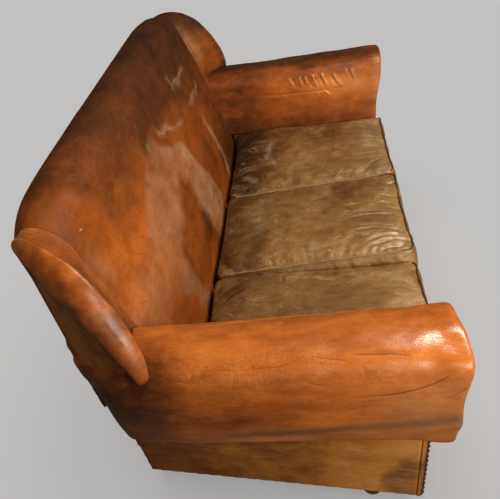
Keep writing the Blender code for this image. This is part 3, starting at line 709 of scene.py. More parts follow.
# depth and height, from the seat over the top and down behind
BACK_CURVE = pairs((166, 246, 182, 360, 222, 500, 262, 620, 301, 735, 328, 815, 345, 870, 370, 908, 408, 929,
                    445, 930, 476, 914, 494, 886, 497, 860, 489, 830, 474, 800.6))


def back_outline(x):
    """Section of the back at x: one broad round from the seat over the top and down behind."""
    drop = BACK_DROP * (abs(x) / BACK_HALF) ** 8
    tuck = 0.022 * max(0.0, (abs(x) - 0.62) / (BACK_HALF - 0.62)) ** 2
    curve = through(BACK_CURVE, 6)
    curve[:, 1] -= drop * soft(curve[:, 1], 0.70, 0.93)
    curve[:, 0] -= tuck * soft(curve[:, 0], 0.42, 0.49)
    # the hidden side lies on the rails
    hidden = [(0.441, 0.8006), (0.4475, 0.861), (0.3965, 0.861), (0.316, 0.272), (0.290, 0.2285)]
    return spaced(list(curve) + hidden, 170)


# by x and millimetres up the section from the seat: a pale bloom of dried wax, and the clean strip inside it
HAZE_OUTLINE = (-120, 570, -50, 505, 20, 460, 140, 410, 150, 340, 180, 280, 240, 200, 260, 120, 200, 70,
    -340, 70, -400, 100, -440, 200, -580, 310, -560, 360, -490, 420, -410, 460, -310, 500, -210, 535)
HAZE_GAP = (-70, 400, -140, 340, -240, 310, -340, 270, -330, 140, -200, 30, 40, 30, 30, 100, 10, 160, -30,
    250, 0, 340)
BACK_WASHES = ((-7, 300, 220, 100, 100), (-8, 620, 150, 140, 80), (16, -60, 80, 300, 40),
    (10, 420, 80, 120, 40), (-7, -600, 160, 100, 60), (5, -200, 420, 140, 50), (6, -710, 420, 50, 70),
    (-5, 150, 640, 80, 50), (-5, -600, 600, 60, 30), (5, -350, 660, 120, 40), (5, 300, 580, 100, 20),
    (-4, 330, 700, 80, 50), (5, -550, 470, 90, 40), (-10, -730, 560, 70, 120), (-10, -730, 820, 80, 80),
    (-6, -20, 470, 50, 60), (5, 50, 660, 40, 50), (-10, -70, 190, 90, 50), (-10, -490, 140, 90, 50),
    (-6, 200, 150, 120, 40), (-6, -140, 440, 80, 40), (-6, -140, 560, 80, 50), (-6, 700, 200, 60, 80),
    (-5, -140, 360, 50, 140), (-10, 0, 190, 50, 70), (-4, 0, 480, 50, 50), (-4, 150, 170, 50, 60),
    (5, 280, 330, 60, 50), (-5, 280, 150, 50, 30), (-8, -420, 520, 60, 30), (-5, -560, 520, 70, 50),
    (-5, -420, 190, 60, 60), (6, 700, 460, 50, 60), (-5, 200, 740, 150, 40), (6, -580, 800, 60, 30),
    (5, -140, 100, 60, 30), (3, -640, 350, 120, 70), (-5, -150, 470, 60, 40))
BACK_WISPS = ((30, 10, -50, 560, 0, 520, 70, 500, 180, 460, 280, 450),
    (30, 12, 580, 540, 480, 540, 380, 550, 310, 550), (26, 12, 310, 600, 310, 550, 320, 520),
    (30, 10, 630, 440, 510, 440, 400, 440, 340, 450), (10, 30, -750, 600, -730, 550, -710, 470))
BACK_CREASES = ((50, -620, 510, -560, 450, -510, 400, -520, 350, -560, 280),
    (50, -700, 400, -660, 370, -630, 360), (40, -550, 490, -500, 460, -470, 440),
    (40, -600, 450, -570, 400, -580, 350), (40, -490, 380, -460, 320, -450, 250),
    (-25, 580, 545, 480, 540, 380, 552, 310, 550), (-22, 310, 590, 313, 550),
    (-20, 630, 440, 510, 445, 400, 440), (-50, -710, 632, -690, 628),
    (-22, -30, 545, 0, 520, 70, 500, 180, 462, 280, 450))


# across the back: how far up the rubbed orange reaches, and how strong it is in thousandths
RUBBED_TOP = pairs((-770, 920, -660, 740, -560, 530, -280, 500, 0, 480, 280, 460, 560, 410, 770, 360))
RUBBED = pairs((-750, 270, -300, 270, 0, 240, 300, 240, 450, 170, 600, 110, 750, 100))


def build_back():
    """The back's leather, in one piece from the seat over the top and down behind."""
    edge = BACK_HALF - SEAM_EDGE
    rings = []
    for x in (-BACK_HALF, -edge, *np.linspace(-0.752, 0.752, 108), edge, BACK_HALF):
        inset = SEAM_INSET * max(0.0, 1 - (BACK_HALF - abs(x)) / SEAM_EDGE) ** 2
        rings.append([(x, y, z) for y, z in drawn_in(back_outline(x), inset, BACK_CENTRE)])
    back = loft("back_leather", rings, back_leather)
    points, normals = points_of(back), normals_of(back)
    free = soft(-normals[:, 1] + normals[:, 2], 0.0, 0.6) * soft(BACK_HALF - np.abs(points[:, 0]), 0.0, 0.06)
    swell = 0.006 * clouds(points, 0.30, 2) + 0.0022 * clouds(points, 0.07, 4)
    move_points(back, points + normals * (swell * free)[:, None])
    x, across = points[:, 0], attribute(back, "across")
    flat = np.stack([x, across], axis=1)
    wander = drift(points, 0.09, 21, 22)
    places = flat + 0.016 * wander
    # rubbed orange below, nearly black-brown above, with a slanting border between
    border = np.interp(x, *RUBBED_TOP.T)
    gap = within(places, 0.030, HAZE_GAP)
    veil = within(places, 0.010, HAZE_OUTLINE) * (1 - gap) * soft(x, -0.64, -0.36)
    tone = 0.27 - 0.06 * soft(x, -0.5, 0.3)
    tone += np.interp(x, *RUBBED.T) * soft(border - places[:, 1], -0.16, 0.06)
    # the top of the roll is made lighter: painted sheen
    tone += washes(places, *BACK_WASHES) - 0.12 * gap + 0.08 * soft(across, 0.78, 0.90)
    tone -= 0.05 * veil * soft(-x, -0.05, 0.10) + 0.04 * soft(across, 0.50, 0.58)
    tone -= 0.06 * soft(-x, 0.69, BACK_HALF) * soft(0.66 - across, 0.0, 0.10)
    haze = veil * (0.27 + 0.16 * soft(x, -0.10, 0.10)) * (1 + 0.35 * wander[:, 0])
    haze += washes(places, (26, -650, 350, 120, 70), (-10, -150, 480, 80, 50)) + strokes(places, *BACK_WISPS)
    haze += strokes(places, (55, 15, 470, 380, 510, 270, 510, 150, 460, 50))
    signed, strength = creases(flat, BACK_CREASES)
    # its strip along the seat is darkened with grime: painted shade where the back meets the seat
    paint(back, tone=tone, haze=haze, crease=signed, crease_depth=strength,
          crackle=washes(places, (70, -560, 360, 90, 100), (40, -450, 220, 100, 60)),
          polish=-0.7 + 1.2 * soft(border - across, -0.1, 0.1) * soft(BACK_HALF - np.abs(x), 0.02, 0.08),
          grime=0.25 * soft(0.10 - across, 0.0, 0.05))
    finish_piece(back, ["back_pad"])


# ---------------------------------------------------------------- wings
WING_ROOT = 0.7569
# millimetres, from the top rear to the tongue that hangs over the arm: the seam with the back (y, z), the
# crest (x, y, z), the rear edge of the roll (x, y, z), and how far the roll stands out
WING_SHAPE = np.array(((486, 866, 770, 470, 866, 773, 465, 846, 4),
    (466, 880, 783, 452, 886, 794, 448, 848, 11), (436, 886, 801, 420, 898, 812, 433, 845, 18),
    (405, 886, 824, 382, 899, 826, 412, 830, 23), (375, 874, 845, 344, 888, 842, 390, 812, 27),
    (352, 852, 862, 309, 868, 856, 367, 797, 30), (338, 822, 877, 279, 842, 868, 345, 781, 32),
    (327, 790, 886, 258, 813, 880, 325, 760, 34), (315, 760, 896, 236, 783, 890, 305, 737, 34),
    (302, 728, 908, 215, 742, 898, 285, 712, 33), (288, 695, 921, 199, 700, 908, 264, 683, 31),
    (276, 662, 931, 190, 662, 918, 244, 655, 27), (267.5, 638, 935, 189, 636, 923, 233, 638, 23),
    (262, 621, 936, 193, 618, 927, 226, 620, 19), (257, 606, 935, 202, 608, 930, 217, 609, 9))) / 1000
# the roll from the crest to its rear edge: share of the way, and share of its height
ROLL_PROFILE = ((0.0, 0.0), (0.02, 0.20), (0.08, 0.47), (0.17, 0.72), (0.29, 0.91), (0.42, 1.0), (0.56, 1.0),
                (0.70, 0.90), (0.82, 0.74), (0.92, 0.52), (0.98, 0.28), (1.0, 0.05))


def on_outline(outline, spot):
    """Nearest place on a closed outline to a spot."""
    loop = np.vstack([outline, outline[:1]])
    best = None
    for p, q in zip(loop, loop[1:]):
        t = np.clip(((spot - p) @ (q - p)) / ((q - p) @ (q - p)), 0, 1)
        near = p + t * (q - p)
        if best is None or np.linalg.norm(near - spot) < np.linalg.norm(best - spot):
            best = near
    return best


def wing_ring(row, back_end):
    """Section of a right wing: its inner face from seam to crest, the roll, and the hidden side."""
    root = np.array([WING_ROOT, *on_outline(back_end, row[0:2])])
    crest, edge, height = row[2:5], row[5:8], row[8]
    ring = []
    for share in (0.0, 0.012, *np.linspace(0.05, 1, 14)[:-1]):
        bent = share ** 1.7
        ring.append(root + (crest - root) * (share, bent, bent))
    across = edge - crest
    outward = np.array([1.0, 0.0, 0.0]) - across * across[0] / (across @ across)
    outward /= np.linalg.norm(outward)
    ring += [crest + across * share + outward * height * rise for share, rise in ROLL_PROFILE]
    # the hidden side goes in behind the outside panel and back to the seam
    inner = edge + (-0.014, 0.001, 0.001)
    to_middle = np.array([0.40, 0.74]) - root[1:]
    to_middle *= min(0.030, 0.6 * np.linalg.norm(inner[1:] - root[1:])) / np.linalg.norm(to_middle)
    deep = root + (0.0, *to_middle)
    ring += [inner + (deep - inner) * share for share in (0.0, 0.33, 0.66, 1.0)]
    ring.append(root + (deep - root) * 0.05)
    return [(x, y, max(z, arm_height(x, y) + 0.001)) for x, y, z in ring]


def build_wing(side, sign):
    """One wing: it goes on from the back's end, rolls over at its crest and lies down on the arm."""
    stations = through(WING_SHAPE, 4)
    back_end = drawn_in(back_outline(BACK_HALF), SEAM_INSET, BACK_CENTRE)
    rings = [[(sign * x, y, z) for x, y, z in wing_ring(row, back_end)] for row in stations]
    wing = loft(f"{side}_wing_leather", rings, tan_leather)
    points, normals = points_of(wing), normals_of(wing)
    free = soft(np.abs(points[:, 0]), WING_ROOT, WING_ROOT + 0.03)
    swell = 0.0022 * clouds(points, 0.14, 5 + sign) + 0.0004 * clouds(points, 0.04, 6 + sign)
    move_points(wing, points + normals * (swell * free)[:, None])
    points = points_of(wing)
    crest, edge = stations[:, 2:5] * (sign, 1, 1), stations[:, 5:8] * (sign, 1, 1)
    to_crest, where = to_path(points, crest)
    run = np.concatenate([[0.0], np.cumsum(np.linalg.norm(np.diff(crest, axis=0), axis=1))])
    reach = np.hypot(np.abs(crest[:, 0]) - WING_ROOT, np.linalg.norm(crest[:, 1:] - stations[:, :2], axis=1))
    outer = attribute(wing, "across") > np.interp(where * run[-1], run, reach) + 0.001
    x, sides, y, z = np.abs(points[:, 0]), points[:, 1:], points[:, 1], points[:, 2]
    if sign < 0:
        to_edge, _ = to_path(points, edge)
        # the roll darkens towards its rear edge: painted shade in the valley against the panel
        roll_tone = (0.48 - 0.26 * soft(0.030 - to_edge, 0.0, 0.024) + 0.10 * soft(z, 0.80, 0.90)
                     + 0.14 * clouds(points, 0.04, 61))
        face_tone = (0.30 + 0.20 * soft(y, 0.25, 0.34) + 0.06 * soft(y, 0.36, 0.43)
                     + 0.07 * soft(0.80 - x, 0.0, 0.04) - 0.10 * soft(0.68 - z, 0.0, 0.05))
        tone = np.where(outer, roll_tone, face_tone) + 0.10 * soft(y, 0.34, 0.42)
        tone += washes(sides, (-11, 245, 765, 35, 45), (-8, 250, 675, 20, 30), (-7, 300, 875, 30, 15),
                       (-13, 324, 807, 25, 30))
        # a painted sheen down the roll: a pale streak where it catches the light, and glossier there
        sheen = outer * strokes(sides, (100, 10, 283, 806, 258, 765, 236, 725, 222, 700))
        haze = 0.34 * sheen
    else:
        tone = (0.38 - 0.30 * soft(z, 0.76, 0.86) - 0.20 * soft(-z, -0.67, -0.61)
                - 0.12 * soft(0.045 - to_crest, 0.0, 0.045))
        # a painted highlight down the inner face near the seam
        sheen = ~outer * strokes(sides, (100, 17, 368, 866, 340, 815, 312, 775, 288, 735, 268, 700))
        haze = 0.44 * sheen
    root = soft(WING_ROOT + 0.065 - x, 0.0, 0.05)
    broken = 0.7 + 0.9 * clouds(points, 0.014, 63)
    # a thin pale line follows the crest: a painted highlight along its edge
    paint(wing, tone=tone, haze=haze, grime=0.15 * root,
          polish=1.3 * sheen * broken - 0.6 * root * ~outer - 0.8 * outer * soft(0.72 - z, 0.0, 0.04),
          crease=np.where(outer, 1, -1) * to_crest * 100 - 0.1, crease_depth=-0.32)
    finish_piece(wing, [f"{side}_wing"])


def panel_rear(z):
    """Depth of the panel's rear edge, which leans back with the frame and steps back below the roll."""
    return 0.4085 + 0.118 * (z - 0.604) + 0.031 * float(soft(z, 0.806, 0.822))


def build_wing_panel(side, sign):
    """The flat leather behind a wing's roll, down to the arm."""
    order = np.argsort(WING_SHAPE[:, 6])
    edge_x, depth, edge_z = WING_SHAPE[order, 5:8].T
    turned = 0.07  # share of its length that wraps round the rear edge
    bm = bmesh.new()
    bmesh.ops.create_grid(bm, x_segments=44, y_segments=32, size=0.5)
    for vert in bm.verts:
        a, b = vert.co.x + 0.5, vert.co.y + 0.5
        wrap, forward = max(0.0, 1 - a / turned), max(0.0, a - turned) / (1 - turned)
        z = 0.70
        for _ in range(3):
            y = panel_rear(z) + (0.216 - panel_rear(z)) * forward
            hem = arm_height(0.85, y) + 0.001
            top = np.interp(y, depth, edge_z) - 0.0015
            z = hem + (max(top, hem + 0.001) - hem) * b
        x = np.interp(y, depth, edge_x) - 0.0015 - 0.020 * (1 - b) * (1 - forward) - 0.022 * wrap ** 2
        vert.co = (sign * x, y + 0.003 * math.sin(math.pi * min(1.0, a / turned)), z)
    bmesh.ops.recalc_face_normals(bm, faces=bm.faces)
    if sum(face.normal.x * sign for face in bm.faces) < 0:
        bmesh.ops.reverse_faces(bm, faces=bm.faces)
    panel = built(bm, f"{side}_wing_outside_leather", dark_leather)
    modify(panel, "SOLIDIFY", thickness=0.011, offset=-1.0)
    y, z = points_of(panel)[:, 1:].T
    paint(panel, tone=(0.54 + 0.06 * soft(z, 0.62, 0.72) + 0.06 * soft(y, 0.33, 0.37)
                       - 0.26 * soft(y - 0.118 * (z - 0.604), 0.388, 0.412)))
    finish_piece(panel, [f"{side}_wing"])


# ---------------------------------------------------------------- seat cushions
CUSHION_WIDTH, CUSHION_LONG, CUSHION_THICK = 0.4993, 0.6613, 0.124
CUSHION_CORNER, WELT_RADIUS = 0.030, 0.0026
CUSHION_REACH, CUSHION_REAR, WELT_REACH = 0.2510, 0.338, 0.2475  # from its centre; nothing goes further
CUSHION_FOLD = (0.0052, 0.011)  # depth and width of a crease
# left, middle and right cushion: tone, how much darker it is at the rear (painted shade under the back), its
# haze at the front, and how deep its creases go
CUSHION_TONE_AND_SHADE = ((0.49, 0.13, 0.18, 0.55), (0.47, 0.20, 0.12, 1.0), (0.46, 0.38, 0.26, 0.8))
DECK_ANGLE = math.atan(0.10)
CUSHION_MIDDLE = ((-0.500 + 0.158) / 2, 0.2565 - 0.10 * (-0.500 + 0.158) / 2)


def lay_cushion(obj, number):
    """Move a piece from the cushion's own axes (flat, centred) to where it lies on the sloping seat."""
    lift = CUSHION_THICK / 2 + 0.0003
    y, z = CUSHION_MIDDLE
    place = Matrix.Translation(((number - 1) * (CUSHION_WIDTH + 0.004), y + lift * math.sin(DECK_ANGLE),
                                z + lift / math.cos(DECK_ANGLE)))
    obj.data.transform(place @ Matrix.Rotation(-DECK_ANGLE, 4, "X"))
    obj.data.update()


# hide as cloth, 2 percent too large for its cushion, with the pressure of a soft fill inside
CLOTH = {"quality": 4, "mass": 0.3, "tension_stiffness": 12.0, "compression_stiffness": 12.0,
         "shear_stiffness": 4.0, "bending_stiffness": 0.6, "air_damping": 3.0, "use_pressure": True,
         "uniform_pressure_force": 4.5, "vertex_group_mass": "held", "shrink_min": -0.02}
SWELL_FRAMES, SWELL_LIMIT = 20, 0.016


def inflate(obj, pinned):
    """Swell the skin as cloth, held where pinned is 1, with no point going further than its limit."""
    before = points_of(obj)
    group = obj.vertex_groups.new(name="held")
    for index in np.nonzero(pinned > 0.01)[0]:
        group.add([int(index)], float(pinned[index]), "REPLACE")
    cloth = obj.modifiers.new("swell", "CLOTH")
    for key, value in CLOTH.items():
        setattr(cloth.settings, key, value)
    cloth.settings.effector_weights.gravity = 0.0
    cloth.collision_settings.use_collision = False
    cloth.point_cache.frame_start, cloth.point_cache.frame_end = 1, SWELL_FRAMES
    for step in range(1, SWELL_FRAMES + 1):
        SCENE.frame_set(step)
    keep_evaluated(obj)
    SCENE.frame_set(1)
    moved = points_of(obj) - before
    length = np.linalg.norm(moved, axis=1)
    limit = SWELL_LIMIT * np.tanh(length / SWELL_LIMIT) / np.maximum(length, 1e-9)
    move_points(obj, before + moved * limit[:, None])
    obj.vertex_groups.clear()


def cushion_form(points, number):
    """Bend the ideal box of one cushion to its worn shape; the welts go through the same bends."""
    half = np.array([CUSHION_WIDTH, CUSHION_LONG, CUSHION_THICK]) / 2
    points = np.array(points, float)
    u, v, w = (points / half).T
    # sides pull in between the corners
    points[:, 0] -= np.sign(u) * 0.003 * np.abs(u) * (1 - v ** 2)
    points[:, 1] -= np.sign(v) * 0.006 * np.abs(v) * (1 - u ** 2)
    # the upper edges have slackened into waves, most at the front
    upper = soft(w, -0.6, 1.0)
    front = soft(-v, 0.4, 1.0)
    wave = clouds(np.stack([points[:, 0], points[:, 1], 0 * u + number], axis=1), 0.085, 11 + number, 2)
    points[:, 1] += 0.006 * wave * front * upper + 0.010 * front * upper
    points[:, 2] += 0.0035 * wave * upper * soft(np.maximum(np.abs(u), np.abs(v)), 0.6, 1.0)
    if number == 0:
        # the left cushion has gone flat along its inner edge
        points[:, 2] -= upper * (0.002 + 0.031 * soft(-v, -0.8, 1.0)) * soft(u, -0.1, 1.0)
    if number == 2:
        # the right one rides up the arm
        risen = soft(v, -0.9, 0.7) * soft(u, 0.0, 1.0) * (1 - 0.6 * soft(v, 0.75, 1.0))
        points[:, 2] += upper * 0.031 * risen
    if number == 1:
        points[:, 2] += upper * 0.004 * soft(-v, -0.5, 0.9) * soft(-u, 0.0, 1.0)
    return points


def rim(half, corner, height):
    """Rounded rectangle path around a cushion at one height."""
    outline = [(-half[0], -half[1], corner), (half[0], -half[1], corner), (half[0], half[1], corner),
               (-half[0], half[1], corner)]
    return [(x, y, height) for x, y in spaced(rounded(outline, 8), 260)]


# across the cushion and front to back from its centre; left, middle and right cushion
CUSHION_WASHES = (
    ((17, 50, -290, 300, 100), (-8, 100, -65, 50, 50), (-7, 150, 250, 50, 40), (6, 150, -30, 30, 30),
     (-5, 60, 120, 30, 40), (-6, 160, -130, 40, 50), (6, 160, -310, 50, 40), (-7, 30, -280, 40, 50),
     (-6, 60, 240, 70, 30)),
    ((5, -220, -120, 50, 250), (-11, 150, -170, 110, 100), (-10, 130, -105, 120, 25),
     (7, 150, -60, 100, 18), (6, -100, -290, 150, 50), (6, 50, 220, 100, 30), (5, -120, 20, 100, 50),
     (5, 230, 0, 30, 250), (6, -80, -30, 50, 50), (-10, -150, -250, 60, 50), (-6, 90, -250, 80, 50)),
    ((-10, 170, 20, 120, 200), (9, -60, 30, 70, 70), (-12, 120, -115, 120, 30), (-10, 20, 260, 160, 40),
     (10, 120, -260, 120, 60), (-6, -150, -20, 30, 50), (8, -100, 40, 40, 100), (-6, 100, 20, 120, 140),
     (-8, -230, -100, 30, 120), (8, -130, -270, 60, 50), (4, 170, -280, 50, 40), (-12, 85, -280, 50, 35)))
CUSHION_STREAKS = (
    ((50, 8, 130, -200, 135, -235, 120, -265, 90, -290), (40, 8, 50, -220, 40, -250, 30, -275),
     (35, 8, 190, 20, 165, -35, 165, -90), (30, 14, 160, -120, 145, -180)),
    ((30, 12, 226, -75, 150, -64, 104, -51), (45, 9, -150, -145, -170, -190, -150, -240),
     (45, 8, -215, -200, -200, -250, -210, -295), (30, 20, -235, -20, -160, 0),
     (25, 20, 140, 200, 0, 175, -90, 180)),
    ((45, 14, 120, 155, -20, 171, -110, 130), (35, 12, -130, 270, -190, 206),
     (50, 8, 210, -250, 190, -280, 200, -310), (30, 20, 108, -231, -70, -250),
     (30, 12, -70, -100, -110, -130)))
# a fold with a strength below 0 shows as a pale ridge line, a painted highlight on the ridge
CUSHION_CREASES = (
    ((80, 97, 293, 138, 240, 170, 195), (90, 229, 95, 188, 98, 155, 94), (60, 149, 91, 128, 64, 120, 46),
     (-40, 186, 8, 161, -37, 165, -82), (50, 100, 268, 78, 174, 75, 55),
     (60, 210, -200, 170, -240, 160, -290), (50, 90, -200, 80, -250, 60, -300),
     (-40, 130, -217, 128, -255, 95, -283), (-40, 49, -229, 33, -262), (50, 110, -60, 85, -100, 100, -140)),
    ((-50, -33, -119, -17, -160, -18, -220, -30, -290), (90, -55, -110, -45, -170, -45, -230, -55, -300),
     (-60, -103, -130, -98, -186, -108, -236, -129, -300),
     (100, -130, -120, -123, -180, -130, -235, -150, -300),
     (-70, -199, -150, -172, -210, -165, -261, -180, -310),
     (100, -215, -170, -195, -230, -190, -280, -205, -320), (-60, -232, -205, -222, -247, -224, -310),
     (80, 156, -250, 175, -315), (80, 77, -240, 65, -300), (60, 120, -220, 115, -290),
     (60, 30, -200, 20, -280), (60, 200, -230, 215, -300), (50, 90, -120, 44, -176, 36, -243),
     (-90, -208, -52, -208, -60)),
    ((70, -189, -220, -155, -274, -165, -310), (60, -120, -180, -105, -250, -115, -310),
     (-50, 205, -250, 190, -280, 200, -310), (60, 170, -220, 160, -270, 165, -310),
     (50, -20, -220, -30, -300), (50, 70, -230, 60, -300), (-30, -210, 20, -215, -100, -210, -200),
     (40, 100, 160, 0, 150, -100, 120)))


def unbroken(path, bare):
    """The stretches of a path between its bare points."""
    cuts = np.nonzero(np.diff(bare.astype(int)))[0] + 1
    return [part for part, gone in zip(np.split(path, cuts), np.split(bare, cuts)) if not gone[0]]


def upright(edge):
    return abs(edge.verts[0].co.z - edge.verts[1].co.z) > 0.01


def cushion_block(name, half):
    """A box of even small cells with rounded corners and edges."""
    bm = bmesh.new()
    bmesh.ops.create_cube(bm, size=2.0)
    bmesh.ops.scale(bm, vec=half, verts=bm.verts)
    bmesh.ops.bevel(bm, geom=[e for e in bm.edges if upright(e)], offset=CUSHION_CORNER, segments=6,
                    profile=0.5, affect="EDGES", material=-1)
    level = [e for e in bm.edges if e.calc_face_angle() > 1.0 and not upright(e)]
    bmesh.ops.bevel(bm, geom=level, offset=0.009, segments=3, profile=0.5, affect="EDGES", material=-1)
    cushion = built(bm, name, taupe_leather)
    modify(cushion, "REMESH", mode="VOXEL", voxel_size=0.0075)
    return cushion


def wear_cushion(cushion, number):
    """Press the creases of one cushion's top into it, and paint it."""
    tone, darker, hazy, depth = CUSHION_TONE_AND_SHADE[number]
    points = points_of(cushion)
    flat, top = points[:, :2], soft(points[:, 2], 0.030, 0.045)
    signed, strength = creases(flat, CUSHION_CREASES[number], 0.016)
    strength *= depth
    points = press_creases(points, normals_of(cushion), signed, np.abs(strength) * top, *CUSHION_FOLD)
    move_points(cushion, points)
    shifted = flat + 0.012 * drift(points, 0.06, 51 + number, 55 + number)
    # darker towards the rear: painted shade under the back
    tone = tone - darker * soft(flat[:, 1], 0.06, 0.27)
    tone += washes(shifted, *CUSHION_WASHES[number]) * top
    tone += 0.20 * soft(np.abs(normals_of(cushion)[:, 0]), 0.6, 0.9)
    haze = strokes(shifted, *CUSHION_STREAKS[number])
    haze += hazy * soft(-flat[:, 1], 0.12, 0.30)
    paint(cushion, tone=tone, haze=0.75 * haze * top, crease=signed,
          crease_depth=np.clip(strength, -1, 0.7) * top, crackle=washes(flat, (45, 0, -220, 250, 120)) * top,
          polish=0.5 * soft(-flat[:, 1], 0.12, 0.26))


def build_cushion(number, side):
    """One loose seat cushion with its two welts, made lying flat and then laid on the seat."""
    half = np.array([CUSHION_WIDTH, CUSHION_LONG, CUSHION_THICK]) / 2 - (0.0025, 0.008, 0.011)
    cushion = cushion_block(f"{side}_cushion_leather", half)
    points = points_of(cushion)
    u, v, w = (points / half).T
    wall = np.maximum(np.abs(u) - 1, (np.abs(v) - 1) * half[1] / half[0]) * half[0]
    edge = np.hypot(wall, (1 - np.abs(w)) * half[2])
    lid = np.sign(w) * (np.abs(w) > 0.8) * (1 - np.abs(u) ** 3) * (1 - np.abs(v) ** 3)
    points[:, 2] += 0.007 * lid
    move_points(cushion, cushion_form(points, number))
    inflate(cushion, soft(0.0125 - edge, 0.0, 0.004))
    modify(cushion, "SUBSURF", levels=1, render_levels=1)
    # it stays clear of its neighbours, the back and the seat
    points = points_of(cushion)
    points[:, 0] = np.clip(points[:, 0], -CUSHION_REACH, CUSHION_REACH)
    points[:, 1] = np.minimum(points[:, 1], CUSHION_REAR)
    points[:, 2] = np.maximum(points[:, 2], -CUSHION_THICK / 2)
    move_points(cushion, points)
    wear_cushion(cushion, number)
    lay_cushion(cushion, number)
    finish_piece(cushion, [f"{side}_seat_cushion"])
    for level, height in (("upper", half[2] - 0.0022), ("lower", 0.0022 - half[2])):
        path = cushion_form(rim(half[:2] - 0.0014, CUSHION_CORNER, height), number)
        path[:, 0] = np.clip(path[:, 0], -WELT_REACH, WELT_REACH)
        # a cushion that leans on its neighbour has no cord along that side
        leaning = np.isin(np.sign(path[:, 0]), ((1,), (), (-1, 1))[number])
        bare = leaning & (np.abs(path[:, 0]) > 0.225) & (np.abs(path[:, 1]) < 0.30)
        bare |= path[:, 1] > 0.295
        first = int(np.argmax(bare & ~np.roll(bare, -1))) + 1 if bare.any() else 0
        path, bare = np.roll(path, -first, axis=0), np.roll(bare, -first)
        welt = tube(f"{side}_cushion_{level}_welt", unbroken(path, bare), WELT_RADIUS, taupe_leather,
                    not bare.any())
        x, y, _ = points_of(welt).T
        front, beside = soft(-y, 0.24, 0.31), soft(np.abs(x), 0.22, 0.24)
        paint(welt, tone=0.40 - 0.18 * front + 0.30 * beside * (1 - front), grime=0.10 + 0.40 * front)
        lay_cushion(welt, number)
        finish_piece(welt, ())


# ---------------------------------------------------------------- base
NAILS, NAIL_RADIUS = 16, 0.0062


def build_front_border():
    """The padded leather border below the cushions."""
    half = BACK_HALF
    outline = spaced(rounded([(-0.4046, 0.060, 0.002), (-0.4046, 0.2965, 0.002), (-0.4450, 0.3005, 0.022),
                              (-0.4480, 0.180, 0.2), (-0.4400, 0.060, 0.012)], 5), 48)
    stations = [-half, -half + 0.004] + list(np.linspace(-0.74, 0.74, 21)) + [half - 0.004, half]
    border = loft("front_border_leather", [[(x, y, z) for y, z in outline] for x in stations], tan_leather)
    paint(border, tone=0.45, grime=0.1)
    finish_piece(border, ["front_border"])


# depth, and how bright a side is there in thousandths: painted light, brightest towards the front and shaded
# towards the rear
SIDE_LIGHT_AND_TONE = pairs((-450, 950, -300, 930, -220, 800, -140, 620, -50, 560, 90, 530, 180, 470, 260, 410,
                   350, 260))
SIDE_STAIN = (-460, 20, -350, 30, -310, 90, -330, 160, -370, 205, -460, 215)
SIDE_CREASES = ((80, -418, 360, -416, 250, -418, 180, -420, 30), (-30, -445, 165, -390, 172, -340, 178),
                (-25, -430, 110, -380, 125, -350, 130), (40, 250, 200, 100, 190, -100, 200))


def side_paint(points):
    """Painted light, bright at the front and shaded towards the rear, with a dark stain low at the front, and
    darker along the lower edge.
    """
    places = points[:, 1:]
    y, z = places.T
    stain = within(places + 0.012 * drift(points, 0.05, 31, 32), 0.018, SIDE_STAIN)
    signed, strength = creases(places, SIDE_CREASES)
    return {"tone": np.interp(y, *SIDE_LIGHT_AND_TONE.T) - 0.30 * stain, "haze": 0.16 * stain, "crease": signed,
            "crease_depth": strength, "grime": 0.3 * soft(0.03 - z, 0.0, 0.02)}


def facing_paint(points):
    """Its outer edge carries on from the side; the front is darker."""
    front = soft(-0.4105 - points[:, 1], 0.0, 0.004)
    values = side_paint(points)
    return {**values, "tone": values["tone"] * (1 - 0.35 * front), "crease_depth": 0.0}


def lining_paint(points):
    return {"tone": 0.22, "grime": 0.2}


def back_paint(points):
    edges = soft(np.abs(points[:, 0]), 0.745, 0.765)
    return {"tone": 0.42 + 0.08 * edges + 0.06 * clouds(points, 0.3, 41),
            "grime": 0.3 * soft(0.10 - points[:, 2], -0.03, 0.05)}


def soft_board(name, node, material, painter, edge=0.003, cell=0.0055):
    """A leather-covered board: the CAD board's shape with rounded edges, cut into cells for its paint."""
    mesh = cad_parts[node].data.copy()
    mesh.materials.clear()
    bm = bmesh.new()
    bm.from_mesh(mesh)
    bmesh.ops.remove_doubles(bm, verts=bm.verts, dist=1e-5)
    bmesh.ops.dissolve_limit(bm, angle_limit=0.02, verts=bm.verts, edges=bm.edges)
    bmesh.ops.recalc_face_normals(bm, faces=bm.faces)
    bmesh.ops.bevel(bm, geom=bm.edges[:], offset=edge, segments=2, profile=0.5, affect="EDGES", material=-1)
    bmesh.ops.triangulate(bm, faces=bm.faces)
    bm.to_mesh(mesh)
    bm.free()
    obj = add_object(name, mesh, material)
    if cell:
        modify(obj, "REMESH", mode="VOXEL", voxel_size=cell)
        # the end meets its facing with a square edge
        points, end = points_of(obj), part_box(node)[0][1]
        points[:, 1] = np.where(points[:, 1] < end + 0.004, end, points[:, 1])
        move_points(obj, points)
    paint(obj, **painter(points_of(obj)))
    finish_piece(obj, [node])


